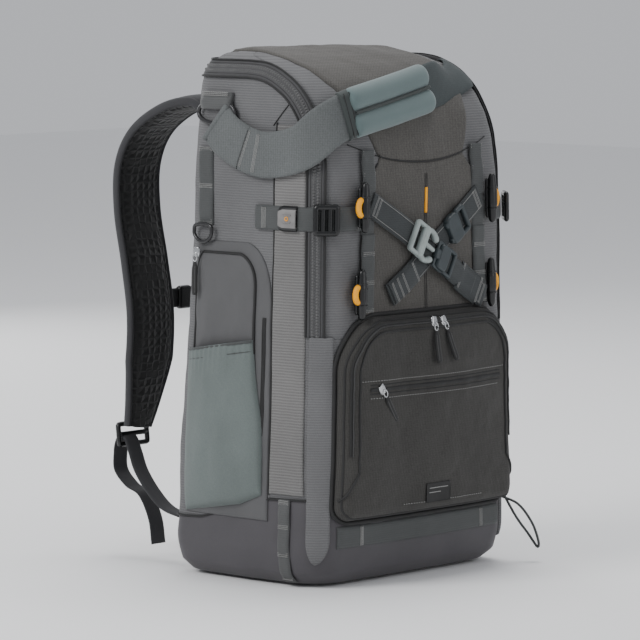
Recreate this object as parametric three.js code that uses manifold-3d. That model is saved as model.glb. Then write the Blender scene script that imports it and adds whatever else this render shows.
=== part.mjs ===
// A tall camera backpack, in millimetres, standing on its base.
// +Z is up, -Y is the front that opens, +Y is the side with the harness, and the origin is
// the middle of the base. Soft walls are real shells with the bag's hollow between them.
import * as THREE from "three";
import { mergeVertices } from "three/addons/utils/BufferGeometryUtils.js";
import Module from "manifold-3d";

const wasm = await Module();
wasm.setup();

// Main sizes of the body
const bodyHeight = 518;
const bodyWidth = 296;
const bodyDepth = 204;
const topNarrowing = 0.108; // share of the width lost from the base to the crown
const frontCornerRadius = 36;
const backCornerRadius = 24;
const sideBulge = 3;
const frontBulge = 5;
const wall = 6; // padded cloth wall
const clear = 0.4; // gap left between sewn pieces

// Cloth laid over the walls, and the zip
const panelCloth = 2.2;
const stripCloth = 2.6;
const zipWidth = 15;
const zipRise = 1.6;

// Lower front pocket and the open side pockets
const pocketWidth = 254;
const pocketRise = 19;
const pocketCloth = 2.4;
const pocketCornerRadius = 52;
const pocketSeamRadius = 12;
const rimWidth = 3.4;
const rimRise = 6;
const sidePocketRise = 7;
const openPocketRise = 19;
const openPocketCloth = 2;

// Webbing and hardware
const narrowWebbing = 20;
const tailWebbing = 15;
const carryWebbing = 46;
const baseWebbing = 22;
const webbingThick = 1.8;
const ringWire = 4;
const ringHeight = 21;
const hookLength = 50;
const hookWidth = 9;
const hookRise = 9;
const loopWidth = 13;
const buckleLength = 46;
const buckleThick = 9;
const gripLength = 112;
const gripWidth = 50;
const gripThick = 15;

// Harness
const strapWidth = 66;
const strapThick = 15;
const strapSpacing = 150; // between the middles of the two shoulder straps
const padWidth = 84;
const padThick = 12;

const halfW = bodyWidth / 2;
const halfD = bodyDepth / 2;
const sides = [["left", -1], ["right", 1]];

// Level sections from the base to the crown. height is a share of the body's height, half of
// its half width, front and back of its half depth, and lift is how far the wall faces up.
const sections = [
  { height: 0, half: 0.82, front: 0.72, back: 0.78, lift: -1 },
  { height: 0.008, half: 0.91, front: 0.86, back: 0.9, lift: -0.75 },
  { height: 0.027, half: 0.97, front: 0.955, back: 0.97, lift: -0.4 },
  { height: 0.068, half: 1, front: 1, back: 1, lift: 0 },
  { height: 0.23, half: 1, front: 1.01, back: 0.975, lift: 0 },
  { height: 0.46, half: 1, front: 1.01, back: 0.905, lift: 0 },
  { height: 0.66, half: 1, front: 1.01, back: 0.855, lift: 0 },
  { height: 0.772, half: 1, front: 1.005, back: 0.825, lift: 0 },
  { height: 0.83, half: 0.998, front: 0.97, back: 0.81, lift: 0.02 },
  { height: 0.878, half: 0.996, front: 0.89, back: 0.8, lift: 0.1 },
  { height: 0.917, half: 0.992, front: 0.77, back: 0.79, lift: 0.2 },
  { height: 0.946, half: 0.98, front: 0.62, back: 0.775, lift: 0.32 },
  { height: 0.969, half: 0.95, front: 0.42, back: 0.75, lift: 0.5 },
  { height: 0.985, half: 0.9, front: 0.16, back: 0.71, lift: 0.72 },
  { height: 0.995, half: 0.82, front: -0.12, back: 0.65, lift: 0.9 },
  { height: 1, half: 0.66, front: -0.26, back: 0.54, lift: 1 },
];

// The zip's line on the side, from behind the back to where it ends at the front
const zipPath = [
  { depth: 1.3, height: 0.966 },
  { depth: 0.5, height: 0.968 },
  { depth: 0.05, height: 0.968 },
  { depth: -0.18, height: 0.962 },
  { depth: -0.38, height: 0.945 },
  { depth: -0.54, height: 0.922 },
  { depth: -0.66, height: 0.893 },
  { depth: -0.76, height: 0.855 },
  { depth: -0.81, height: 0.81 },
  { depth: -0.825, height: 0.76 },
  { depth: -0.84, height: 0.475 },
];
// The seam between the side panels and the coated base, back to front
const baseSeam = [
  { depth: 1.4, height: 0.108 },
  { depth: 0.55, height: 0.116 },
  { depth: 0, height: 0.144 },
  { depth: -0.36, height: 0.166 },
  { depth: -1.4, height: 0.172 },
];

const atY = (share) => share * halfD;
const atZ = (share) => share * bodyHeight;
const sidePoints = (rows) => rows.map((r) => [atY(r.depth), atZ(r.height)]);

// Closed mesh to solid, and back
function solid(geometry) {
  const bare = geometry.clone();
  for (const name of ["normal", "uv"]) bare.deleteAttribute(name);
  const merged = mergeVertices(bare, 1e-3);
  return new wasm.Manifold(new wasm.Mesh({
    numProp: 3,
    vertProperties: merged.attributes.position.array,
    triVerts: new Uint32Array(merged.index.array),
  }));
}

function geometryOf(made) {
  const mesh = made.getMesh();
  return new THREE.BufferGeometry()
    .setAttribute("position", new THREE.BufferAttribute(mesh.vertProperties, 3))
    .setIndex(new THREE.BufferAttribute(mesh.triVerts, 1));
}

// A closed geometry with every vertex moved by a function
function warped(geometry, move) {
  const spots = geometry.attributes.position;
  const point = new THREE.Vector3();
  for (let i = 0; i < spots.count; i += 1) {
    point.fromBufferAttribute(spots, i);
    const [x, y, z] = move(point);
    spots.setXYZ(i, x, y, z);
  }
  return geometry;
}

// The body as a closed loft, grown outwards by an offset
const cornerSteps = 4;
const edgeSteps = 3;
const quarter = cornerSteps + edgeSteps;

function rim(row, spot, offset) {
  const spread = offset * Math.sqrt(1 - row.lift * row.lift);
  const half = halfW * row.half + spread;
  const front = -halfD * row.front - spread;
  const back = halfD * row.back + spread;
  const most = 0.45 * (back - front);
  const side = Math.floor(spot / quarter) % 4;
  const step = spot % quarter;
  const right = side === 0 || side === 3;
  const rear = side < 2;
  const corner = (atRear) => Math.min((atRear ? backCornerRadius : frontCornerRadius) + spread, most);
  const radius = corner(rear);
  const angle = (side + Math.min(step, cornerSteps) / cornerSteps) * (Math.PI / 2);
  const x = (right ? 1 : -1) * (half - radius) + radius * Math.cos(angle);
  const y = (rear ? back - radius : front + radius) + radius * Math.sin(angle);
  if (step <= cornerSteps) return [x, y];
  const t = (step - cornerSteps) / edgeSteps;
  const swell = 4 * t * (1 - t) * (1 - Math.abs(row.lift));
  if (side === 0 || side === 2) {
    const end = (right ? -1 : 1) * (half - corner(rear));
    return [x + (end - x) * t, y + (rear ? 0 : -frontBulge * swell)];
  }
  const end = rear ? front + corner(false) : back - corner(true);
  return [x + (right ? 1 : -1) * sideBulge * swell, y + (end - y) * t];
}

function body(offset) {
  const rows = sections.length - 1;
  const round = 4 * quarter;
  const tube = new THREE.CylinderGeometry(1, 1, 1, round, rows);
  const made = warped(tube, (p) => {
    const row = sections[Math.round((p.y + 0.5) * rows)];
    const level = atZ(row.height) + offset * row.lift;
    const turn = Math.round((Math.atan2(-p.z, p.x) / (2 * Math.PI) + 1) * round) % round;
    if (Math.hypot(p.x, p.z) < 0.5) return [0, (row.back - row.front) * halfD / 2, level];
    return [...rim(row, turn, offset), level];
  });
  return solid(made);
}

const skin = (from, to) => body(to).subtract(body(from));

// Outlines in the side view (y, z) swept along X, and in the front view (x, z) swept along Y
function swept(points, depth) {
  const outline = new THREE.Shape(points.map(([a, b]) => new THREE.Vector2(a, b)));
  return new THREE.ExtrudeGeometry(outline, { depth, bevelEnabled: false });
}

function alongX(points, from, to) {
  return solid(warped(swept(points, to - from), (p) => [p.z + from, p.x, p.y]));
}

function alongY(points, from, to) {
  return solid(warped(swept(points, to - from), (p) => [p.x, to - p.z, p.y]));
}

// A line of points moved sideways, to its left for a positive distance
function moved(points, distance) {
  return points.map(([a, b], i) => {
    const [a0, b0] = points[Math.max(i - 1, 0)];
    const [a1, b1] = points[Math.min(i + 1, points.length - 1)];
    const length = Math.hypot(a1 - a0, b1 - b0);
    return [a - ((b1 - b0) / length) * distance, b + ((a1 - a0) / length) * distance];
  });
}

const band = (points, half) => [...moved(points, half), ...moved(points, -half).reverse()];

function roundedBox(x0, x1, z0, z1, topRadius, lowRadius, steps = 3) {
  const shape = new THREE.Path();
  const quarterTurn = Math.PI / 2;
  shape.absarc(x1 - topRadius, z1 - topRadius, topRadius, 0, quarterTurn);
  shape.absarc(x0 + topRadius, z1 - topRadius, topRadius, quarterTurn, 2 * quarterTurn);
  shape.absarc(x0 + lowRadius, z0 + lowRadius, lowRadius, 2 * quarterTurn, 3 * quarterTurn);
  shape.absarc(x1 - lowRadius, z0 + lowRadius, lowRadius, 3 * quarterTurn, 4 * quarterTurn);
  return shape.getPoints(steps).map((p) => [p.x, p.y]);
}

// A flat strip that follows points, each with the direction that its face looks to
function ribbon(path, width, thick, steps) {
  const curve = new THREE.CatmullRomCurve3(path.map((p) => new THREE.Vector3(...p.at)));
  const faces = path.map((p) => new THREE.Vector3(...p.faces).normalize());
  const strip = new THREE.BoxGeometry(1, 1, 1, steps, 1, 1);
  return warped(strip, (p) => {
    const t = Math.min(Math.max(p.x + 0.5, 0), 1);
    const along = t * (path.length - 1);
    const first = Math.min(Math.floor(along), path.length - 2);
    const face = faces[first].clone().lerp(faces[first + 1], along - first);
    const ahead = curve.getTangent(t);
    const across = new THREE.Vector3().crossVectors(face, ahead).normalize();
    const out = new THREE.Vector3().crossVectors(ahead, across).normalize();
    const at = curve.getPoint(t).addScaledVector(across, p.y * width).addScaledVector(out, p.z * thick);
    return [at.x, at.y, at.z];
  });
}

function block(size, centre, turn = [0, 0, 0]) {
  const made = new THREE.BoxGeometry(...size);
  made.applyMatrix4(new THREE.Matrix4().makeRotationFromEuler(new THREE.Euler(...turn)));
  made.translate(...centre);
  return solid(made);
}

// The front and back of the body at a height, and the side's plane there, before narrowing
function depthAt(level, column) {
  const share = level / bodyHeight;
  const next = Math.max(sections.findIndex((r) => r.height >= share), 1);
  const [low, high] = [sections[next - 1], sections[next]];
  const t = (share - low.height) / (high.height - low.height);
  return (low[column] + (high[column] - low[column]) * t) * halfD;
}
const frontAt = (level) => -depthAt(level, "front");
const backAt = (level) => depthAt(level, "back");

const group = new THREE.Group();

// Every piece narrows towards the top together, so that neighbours keep to each other
function add(name, made, colour, roughness = 0.85, metalness = 0) {
  const geometry = warped(geometryOf(made), (p) => {
    return [p.x * (1 - topNarrowing * (p.z / bodyHeight)), p.y, p.z];
  });
  const material = new THREE.MeshStandardMaterial({ color: colour, roughness, metalness });
  const mesh = new THREE.Mesh(geometry, material);
  mesh.name = name;
  group.add(mesh);
}

const lightGrey = 0x76767a;
const darkGrey = 0x4b4a48;
const coatedGrey = 0x504e52;
const mossGrey = 0x717c7b;
const webbingGrey = 0x474a4b;
const black = 0x202124;
const buckleGrey = 0xa9b2b3;
const amber = 0xf2b01e;
const steel = 0x8d8f92;

const farOut = 900;
const zipLine = sidePoints(zipPath);
const zipHalf = zipWidth / 2;
const grown = body(clear);

// Region in front of and above the zip, moved off its line by a distance
function aheadOfZip(distance) {
  const edge = moved(zipLine, distance);
  const [, lowest] = edge[edge.length - 1];
  return alongX([...edge, [-farOut, lowest], [-farOut, farOut], [farOut, farOut]], -farOut, farOut);
}
const lidSide = zipLine[0][0] > zipLine[1][0] ? -1 : 1;
const shell = body(0).subtract(body(-wall));
const seamLine = sidePoints(baseSeam);
const underSeam = alongX([...seamLine, [-farOut, -farOut], [farOut, -farOut]], -farOut, farOut);
const seamGap = alongX(band(seamLine, clear / 2), -farOut, farOut);
const zipZone = alongX(band(zipLine, zipHalf), -farOut, farOut);

add("lid_shell", shell.intersect(aheadOfZip(lidSide * (zipHalf + clear))), lightGrey);
add("body_shell", shell.subtract(aheadOfZip(-lidSide * (zipHalf + clear)))
  .subtract(underSeam).subtract(seamGap), lightGrey);
add("base_boot", shell.intersect(underSeam).subtract(seamGap), coatedGrey, 0.6);
add("main_zip", body(zipRise).subtract(body(-wall)).intersect(zipZone), black, 0.7);

// Dark cloth laid over the lid: the crown panel and the front panel under it
const panelHalfTop = 0.72 * halfW;
const panelHalfLow = 0.46 * halfW;
const frontPanelHalf = 0.655 * halfW;
const crownSeam = { side: 0.808, middle: 0.794 };
const cloth = skin(clear, panelCloth);
const seamCurve = (drop) => [-1, -0.5, 0, 0.5, 1].map((t) => {
  return [t * panelHalfLow, atZ(crownSeam.middle + (crownSeam.side - crownSeam.middle) * t * t) + drop];
});
const crownOutline = [
  [-panelHalfTop, atZ(1.1)], [-panelHalfTop, atZ(0.985)], ...seamCurve(clear / 2),
  [panelHalfTop, atZ(0.985)], [panelHalfTop, atZ(1.1)],
];
const aheadOfBack = alongX([[atY(0.62), 0], [atY(0.62), farOut], [-farOut, farOut], [-farOut, 0]],
  -farOut, farOut);
add("crown_panel", cloth.intersect(alongY(crownOutline, -farOut, farOut)).intersect(aheadOfBack), darkGrey);
// Lower front pocket: a puffed cloth shell, open at its back against the body
const pocketTop = atZ(0.508);
const pocketLow = atZ(0.128);
const pocketHalf = pocketWidth / 2;
const pocketFront = frontAt(atZ(0.3)) - frontBulge;

function pocketForm(inset, back) {
  const outline = new THREE.Shape(roundedBox(-pocketHalf, pocketHalf, pocketLow, pocketTop,
    pocketCornerRadius, pocketSeamRadius + 4).map(([a, b]) => new THREE.Vector2(a, b)));
  const turn = pocketSeamRadius - inset;
  const made = new THREE.ExtrudeGeometry(outline, {
    depth: pocketRise - pocketSeamRadius + back, bevelEnabled: true, bevelSegments: 3,
    bevelThickness: turn, bevelSize: turn, bevelOffset: -pocketSeamRadius,
  });
  const deepest = pocketFront - pocketRise + inset;
  return solid(warped(made, (p) => [p.x, deepest + (pocketRise - pocketSeamRadius + back + turn - p.z), p.y]));
}
const pocketBack = 40;
const behindPocket = alongX([[farOut, -farOut], [farOut, farOut], [pocketFront + pocketBack / 2, farOut],
  [pocketFront + pocketBack / 2, -farOut]], -farOut, farOut);
add("front_pocket", pocketForm(0, pocketBack).subtract(behindPocket)
  .subtract(pocketForm(pocketCloth, 2 * pocketBack)).subtract(body(clear)), darkGrey);

// A rolled seam pipe round the pocket's face, and the tunnel of its upper zip, are one rim
const rimOutline = roundedBox(-pocketHalf - rimWidth, pocketHalf + rimWidth, pocketLow - rimWidth,
  pocketTop + rimWidth, pocketCornerRadius + rimWidth, pocketSeamRadius + 4 + rimWidth);
const rimHole = roundedBox(-pocketHalf - clear, pocketHalf + clear, pocketLow - clear, pocketTop + clear,
  pocketCornerRadius + clear, pocketSeamRadius + 4 + clear);
add("pocket_rim", skin(clear, rimRise).intersect(alongY(rimOutline, -farOut, 0))
  .subtract(alongY(rimHole, -farOut, farOut)), darkGrey);

// The front panel's cloth goes down to the rim's upper edge
const panelLow = pocketTop + rimWidth + clear;
const frontOutline = [
  [-frontPanelHalf, panelLow], [frontPanelHalf, panelLow], [frontPanelHalf, atZ(0.715)],
  [0.86 * frontPanelHalf, atZ(0.772)], ...seamCurve(-clear / 2).reverse(),
  [-0.86 * frontPanelHalf, atZ(0.772)], [-frontPanelHalf, atZ(0.715)],
];
add("front_panel", cloth.intersect(alongY(frontOutline, -farOut, 0)), darkGrey);

// Light tongues on the lower front corners, from the zip's end down round the base
const tongueInner = pocketHalf + 4;
const tongueBack = atY(-0.79);
const tongueOutline = [[tongueInner, atZ(0.44)], [tongueInner, atZ(0.1)], [0.92 * halfW, atZ(0.05)],
  [1.2 * halfW, atZ(0.018)], [1.2 * halfW, atZ(0.44)]];
for (const [side, sign] of sides) {
  const outline = tongueOutline.map(([x, z]) => [sign * x, z]);
  add("corner_tongue_" + side, skin(clear, stripCloth).intersect(alongY(outline, -farOut, tongueBack)),
    lightGrey);
}

// Upright strips on the sides, between the panel seam and the zip
const stripBack = -0.36;
const stripOutline = [[atY(stripBack), atZ(0.178)], [atY(-0.77), atZ(0.178)], [atY(-0.74), atZ(0.76)],
  [atY(-0.72), atZ(0.81)], [atY(-0.64), atZ(0.85)], [atY(stripBack), atZ(0.875)]];
const sideOnly = (sign, made) => made.intersect(
  block([farOut, 2 * farOut, 2 * farOut], [sign * (farOut / 2 + 2), 0, 0]));
for (const [side, sign] of sides) {
  add("side_strip_" + side, sideOnly(sign, skin(clear, stripCloth)
    .intersect(alongX(stripOutline, -farOut, farOut))), lightGrey);
}

// Zipped side pockets, with a flat surround and a raised middle, and open pockets before them
const surroundOutline = [[atY(0.74), atZ(0.13)], [atY(-0.34), atZ(0.178)], [atY(-0.34), atZ(0.555)],
  [atY(-0.24), atZ(0.6)], [atY(-0.08), atZ(0.635)], [atY(0.2), atZ(0.645)], [atY(0.64), atZ(0.64)]];
const raisedOutline = [[atY(0.66), atZ(0.445)], [atY(-0.15), atZ(0.47)], [atY(-0.15), atZ(0.56)],
  [atY(-0.08), atZ(0.6)], [atY(0.1), atZ(0.622)], [atY(0.45), atZ(0.62)], [atY(0.6), atZ(0.6)]];
const openOutline = [[atY(0.74), atZ(0.125)], [atY(0), atZ(0.15)], [atY(-0.28), atZ(0.172)],
  [atY(-0.19), atZ(0.26)], [atY(-0.15), atZ(0.462)], [atY(0.66), atZ(0.436)]];
const openInner = [[atY(0.74) - 3, atZ(0.135)], [atY(0), atZ(0.16)], [atY(-0.24), atZ(0.185)],
  [atY(-0.15), atZ(0.26)], [atY(-0.11), atZ(0.6)], [atY(0.66) - 4, atZ(0.6)]];
for (const [side, sign] of sides) {
  const surround = skin(clear, panelCloth).intersect(alongX(surroundOutline, -farOut, farOut));
  const raised = skin(clear, sidePocketRise).intersect(alongX(raisedOutline, -farOut, farOut));
  add("side_pocket_" + side, sideOnly(sign, surround.add(raised)), darkGrey);
  const cup = skin(panelCloth + clear, openPocketRise).intersect(alongX(openOutline, -farOut, farOut));
  const room = skin(-1, openPocketRise - openPocketCloth).intersect(alongX(openInner, -farOut, farOut));
  add("open_pocket_" + side, sideOnly(sign, cup.subtract(room)), mossGrey);
}

// Harness side: two ventilated pads, a lumbar pad and the padded shoulder straps
const back = (level, out) => backAt(level) + out;
for (const [side, sign] of sides) {
  const outline = roundedBox(-padWidth / 2, padWidth / 2, atZ(0.3), atZ(0.84), 20, 14)
    .map(([x, z]) => [sign * (strapSpacing / 2) * 0.84 + x, z]);
  add("back_pad_" + side, skin(clear, padThick).intersect(alongY(outline, 0, farOut)), black, 0.95);
}
const lumbarOutline = roundedBox(-0.72 * halfW, 0.72 * halfW, atZ(0.1), atZ(0.28), 18, 18);
add("lumbar_pad", skin(clear, padThick + 4).intersect(alongY(lumbarOutline, 0, farOut)), black, 0.95);

const strapSeat = padThick + clear + strapThick / 2;
const strapPath = [
  { out: -14, height: 0.866 }, { out: 28, height: 0.9 }, { out: 66, height: 0.885 },
  { out: 105, height: 0.838 }, { out: 125, height: 0.77 }, { out: 127, height: 0.68 },
  { out: 118, height: 0.58 }, { out: 112, height: 0.48 }, { out: 114, height: 0.39 },
  { out: 121, height: 0.31 }, { out: 126, height: 0.25 },
];
const strapShift = [0, 2, 4, 5, 4, 2, 0, -3, -4, -3, 0];
const webPath = [
  { out: 121, height: 0.202 }, { out: 111, height: 0.168 }, { out: 92, height: 0.13 },
  { out: 70, height: 0.102 }, { out: 40, height: 0.09 }, { out: 8, height: 0.084 },
];
const tailPath = [
  { out: 144, height: 0.202 }, { out: 142, height: 0.165 }, { out: 126, height: 0.136 },
  { out: 107, height: 0.12 }, { out: 93, height: 0.076 }, { out: 88, height: 0.027 },
];
const harnessBack = backAt(atZ(0.6));

// Rows of a harness path as ribbon points at a distance across, for the side of a sign
function harness(rows, across) {
  return rows.map((p, i) => {
    const [before, after] = [rows[Math.max(i - 1, 0)], rows[Math.min(i + 1, rows.length - 1)]];
    return { at: [across(i), harnessBack + p.out, atZ(p.height)],
      faces: [0, atZ(before.height) - atZ(after.height), after.out - before.out] };
  });
}

// Sets a geometry with its width along one direction and its face towards another
function set(geometry, centre, across, facing) {
  const out = new THREE.Vector3(...facing).normalize();
  const wide = new THREE.Vector3(...across).addScaledVector(out, -out.dot(new THREE.Vector3(...across)));
  wide.normalize();
  const up = new THREE.Vector3().crossVectors(out, wide);
  const place = new THREE.Matrix4().makeBasis(wide, up, out).setPosition(...centre);
  return geometry.applyMatrix4(place);
}

// A flat plastic plate with its slots, set where it lies
function plate(size, slots, centre, across, facing, radius = 4) {
  const [width, height, thick] = size;
  const outline = new THREE.Shape(roundedBox(-width / 2, width / 2, -height / 2, height / 2, radius, radius, 1)
    .map(([a, b]) => new THREE.Vector2(a, b)));
  const whole = new THREE.ExtrudeGeometry(outline, { depth: thick, bevelEnabled: false });
  let made = solid(set(whole.translate(0, 0, -thick / 2), centre, across, facing));
  for (const [x0, x1, z0, z1] of slots) {
    const slot = new THREE.BoxGeometry(x1 - x0, z1 - z0, 3 * thick).translate((x0 + x1) / 2, (z0 + z1) / 2, 0);
    made = made.subtract(solid(set(slot, centre, across, facing)));
  }
  return made;
}

// A D-shaped ring: a straight bar above and a round bow below
function bowRing(halfWide, halfHigh, wire) {
  const middle = 10;
  const torus = new THREE.TorusGeometry(middle, wire / 2, 5, 12);
  const bent = (v, power) => Math.sign(v) * Math.abs(v) ** power;
  return warped(torus, (p) => {
    const [c, s] = [p.x / Math.hypot(p.x, p.y), p.y / Math.hypot(p.x, p.y)];
    const rise = Math.hypot(p.x, p.y) - middle;
    const power = s > 0 ? 0.45 : 0.8;
    return [bent(c, power) * halfWide + c * rise, bent(s, power) * halfHigh + s * rise, p.z];
  });
}

for (const [side, sign] of sides) {
  const middle = sign * (strapSpacing / 2);
  const strap = harness(strapPath, (i) => middle + sign * strapShift[i]);
  const onPad = skin(clear, padThick + clear).intersect(
    block([farOut, farOut, atZ(0.85)], [0, farOut / 2, atZ(0.425)]));
  add("shoulder_strap_" + side, solid(ribbon(strap, strapWidth, strapThick, 24)).subtract(grown)
    .subtract(onPad), black, 0.95);
  const lockAt = [middle, harnessBack + 133, atZ(0.237)];
  const lock = (grow, slots) => plate([strapWidth * 0.72 + grow, 26 + grow, 6 + grow], slots,
    lockAt, [1, 0, 0], [0, 1, 0.12]);
  const belowStrap = solid(ribbon(strap, strapWidth + 2 * clear, strapThick + 2 * clear, 24));
  add("ladder_lock_" + side, lock(0, [[-20, 20, 3, 7], [-20, 20, -7, -3]]).subtract(belowStrap), black, 0.5);
  const web = harness(webPath, (i) => middle + sign * (8 + i * 2));
  const aroundPads = skin(clear, padThick + 4 + clear)
    .intersect(alongY(lumbarOutline.map(([x, z]) => [1.03 * x, 1.01 * z]), 0, farOut));
  const tail = harness(tailPath, () => middle + sign * 8);
  const [webTop, tailTop] = [web[0].at, tail[0].at];
  const turn = block([narrowWebbing, tailTop[1] - webTop[1] + 2 * webbingThick, webbingThick],
    [middle + sign * 8, (webTop[1] + tailTop[1]) / 2, webTop[2]]);
  add("strap_webbing_" + side, solid(ribbon(web, narrowWebbing, webbingThick, 12))
    .add(solid(ribbon(tail, narrowWebbing, webbingThick, 10))).add(turn).subtract(grown)
    .subtract(aroundPads).subtract(belowStrap).subtract(lock(2 * clear, [])), webbingGrey);
}

// Chest strap on the outer face of the shoulder straps, with its buckle round it
const chestY = harnessBack + 112.5 + strapThick / 2 + clear + webbingThick;
const chestZ = atZ(0.5);
const chest = (grow) => block([strapSpacing, webbingThick + grow, narrowWebbing + grow], [0, chestY, chestZ]);
add("chest_strap", chest(0), webbingGrey);
add("chest_buckle", plate([40, 25, 8], [], [0, chestY, chestZ], [1, 0, 0], [0, 1, 0], 5)
  .subtract(chest(2 * clear)), black, 0.5);

// A point on the body: spot counts round the rim from the right rear corner, height is a
// share of the body's height and out is the distance off the wall
function onBody(spot, height, out) {
  const next = Math.max(sections.findIndex((r) => r.height >= height), 1);
  const [low, high] = [sections[next - 1], sections[next]];
  const t = (height - low.height) / (high.height - low.height);
  const mix = (name) => low[name] + (high[name] - low[name]) * t;
  const row = { half: mix("half"), front: mix("front"), back: mix("back"), lift: mix("lift") };
  const first = Math.floor(spot);
  const [a, b] = [rim(row, first, out), rim(row, first + 1, out)];
  const share = spot - first;
  return new THREE.Vector3(a[0] + (b[0] - a[0]) * share, a[1] + (b[1] - a[1]) * share,
    atZ(height) + out * row.lift);
}
function outward(spot, height) {
  return onBody(spot, height, 1).sub(onBody(spot, height, 0)).normalize();
}

// Upper side rings on their tabs, which carry the strap and its grip
const ringSpot = { left: 11.45, right: 27.45 };
const ringLevel = 0.885;
const ringHalf = carryWebbing / 2 + 2;
const ringOut = 3 + ringWire / 2;
const rings = {};
for (const [side, sign] of sides) {
  const at = onBody(ringSpot[side], ringLevel, ringOut);
  const facing = [sign, 0, 0.06];
  const made = (grow) => solid(set(bowRing(ringHalf, ringHeight / 2, ringWire + grow),
    at.toArray(), [0, sign, 0], facing));
  rings[side] = made;
  add("upper_ring_" + side, made(0), black, 0.45);
  const up = [at.x, at.y, at.z + ringHeight / 2 + 1];
  add("ring_tab_" + side, block([2 * ringOut, carryWebbing - 6, 12], up)
    .subtract(made(2 * clear)).subtract(grown), lightGrey);
}

const carryPath = [
  { spot: 11.5, height: 0.858, out: 6 }, { spot: 12.0, height: 0.83, out: 7 },
  { spot: 13.0, height: 0.796, out: 7 }, { spot: 14.4, height: 0.818, out: 9 },
  { spot: 16.3, height: 0.866, out: 13 }, { spot: 18.05, height: 0.892, out: 13 },
  { spot: 19.1, height: 0.914, out: 12 }, { spot: 20.3, height: 0.938, out: 12 },
  { spot: 21.5, height: 0.955, out: 9 }, { spot: 23.4, height: 0.962, out: 8 },
  { spot: 25.2, height: 0.92, out: 7 }, { spot: 26.3, height: 0.862, out: 7 },
  { spot: 27.3, height: 0.84, out: 6 },
].map((p) => ({ at: onBody(p.spot, p.height, p.out).toArray(), faces: outward(p.spot, p.height).toArray() }));
const fold = (side, sign) => {
  const at = onBody(ringSpot[side], ringLevel, ringOut);
  return block([ringWire + 2 * webbingThick + 2 * clear, carryWebbing - 3, 13],
    [at.x + sign * 0.6, at.y, at.z - ringHeight / 2 - 3]);
};
const carry = (grow) => solid(ribbon(carryPath, carryWebbing + grow, webbingThick + 0.6 + grow, 32));
const clothed = body(panelCloth + clear);
add("carry_strap", carry(0).add(fold("left", -1)).add(fold("right", 1)).subtract(rings.left(2 * clear))
  .subtract(rings.right(2 * clear)).subtract(clothed), mossGrey);
const gripRows = carryPath.slice(5, 8);
add("grip_pad", solid(ribbon(gripRows, gripWidth, gripThick, 10)).subtract(carry(2 * clear))
  .subtract(clothed), 0x6f8082, 0.7);

// Thin webbing sewn or stretched over the body in layers, one above another
const layerStep = webbingThick + clear;
const layerBase = stripCloth + clear;
const layer = (n) => [layerBase + n * layerStep, layerBase + n * layerStep + webbingThick];
const laid = (n, region) => skin(...layer(n)).intersect(region);
const overLayer = (n) => layer(n)[1] + clear;
const slanted = (x0, z0, x1, z1, half) => alongY(band([[x0, z0], [x1, z1]], half), -farOut, 0);

// Lower side rings in the end of an upright webbing strip
const sideStripY = atY(0.53);
const lowRing = { wide: 14.5, high: 11.5, level: atZ(0.66) };
for (const [side, sign] of sides) {
  const out = clear + webbingThick + ringWire * 0.4 + 0.6;
  const x = sign * (halfW + sideBulge + out);
  const made = (grow) => solid(set(bowRing(lowRing.wide - ringWire / 2, lowRing.high - ringWire / 2,
    ringWire * 0.8 + grow), [x, sideStripY, lowRing.level], [0, sign, 0], [sign, 0, 0]));
  const barLevel = lowRing.level + lowRing.high - ringWire / 2;
  const strip = [[sideStripY - 10, barLevel], [sideStripY + 10, barLevel], [sideStripY + 13, atZ(0.82)],
    [sideStripY - 7, atZ(0.82)]];
  const turn = block([ringWire * 2 + 2.4, narrowWebbing - 1, 10],
    [x - sign * 0.6, sideStripY, barLevel + 1]);
  add("side_daisy_chain_" + side, sideOnly(sign, skin(clear, clear + webbingThick)
    .intersect(alongX(strip, -farOut, farOut)).add(turn).subtract(made(2 * clear)).subtract(grown)),
  webbingGrey);
  add("lower_ring_" + side, made(0), black, 0.45);
}

// Side compression straps: webbing from the side round the front corner, under its buckle
const squeezeZ = atZ(0.695);
const squeezeHalf = 12;
const hookX = 0.7 * halfW;
for (const [side, sign] of sides) {
  const level = alongX([[atY(-0.14), squeezeZ - squeezeHalf], [-farOut, squeezeZ - squeezeHalf],
    [-farOut, squeezeZ + squeezeHalf], [atY(-0.14), squeezeZ + squeezeHalf]], -farOut, farOut);
  const outer = block([farOut, farOut, farOut], [sign * (farOut / 2 + hookX - 8), 0, squeezeZ]);
  add("compression_strap_" + side, laid(0, level).intersect(outer), webbingGrey);
  const tab = skin(overLayer(0), overLayer(0) + 3.4).intersect(alongX([[atY(-0.44), squeezeZ - squeezeHalf],
    [atY(-0.87), squeezeZ - squeezeHalf - 2], [atY(-0.87), squeezeZ + squeezeHalf + 2],
    [atY(-0.44), squeezeZ + squeezeHalf]], -farOut, farOut));
  const cornerSpot = sign < 0 ? 16 : 23;
  const lockAt = onBody(cornerSpot, 0.695, overLayer(0) + 4);
  const faceOut = outward(cornerSpot, 0.695);
  const lock = plate([27, 2 * squeezeHalf + 7, 7], [[-9, -3.5, -12, 12], [3.5, 9, -12, 12]],
    lockAt.toArray(), [-faceOut.y, faceOut.x, 0], faceOut.toArray());
  add("side_buckle_" + side, sideOnly(sign, tab).add(lock)
    .subtract(body(overLayer(0))), black, 0.5);
}

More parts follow.
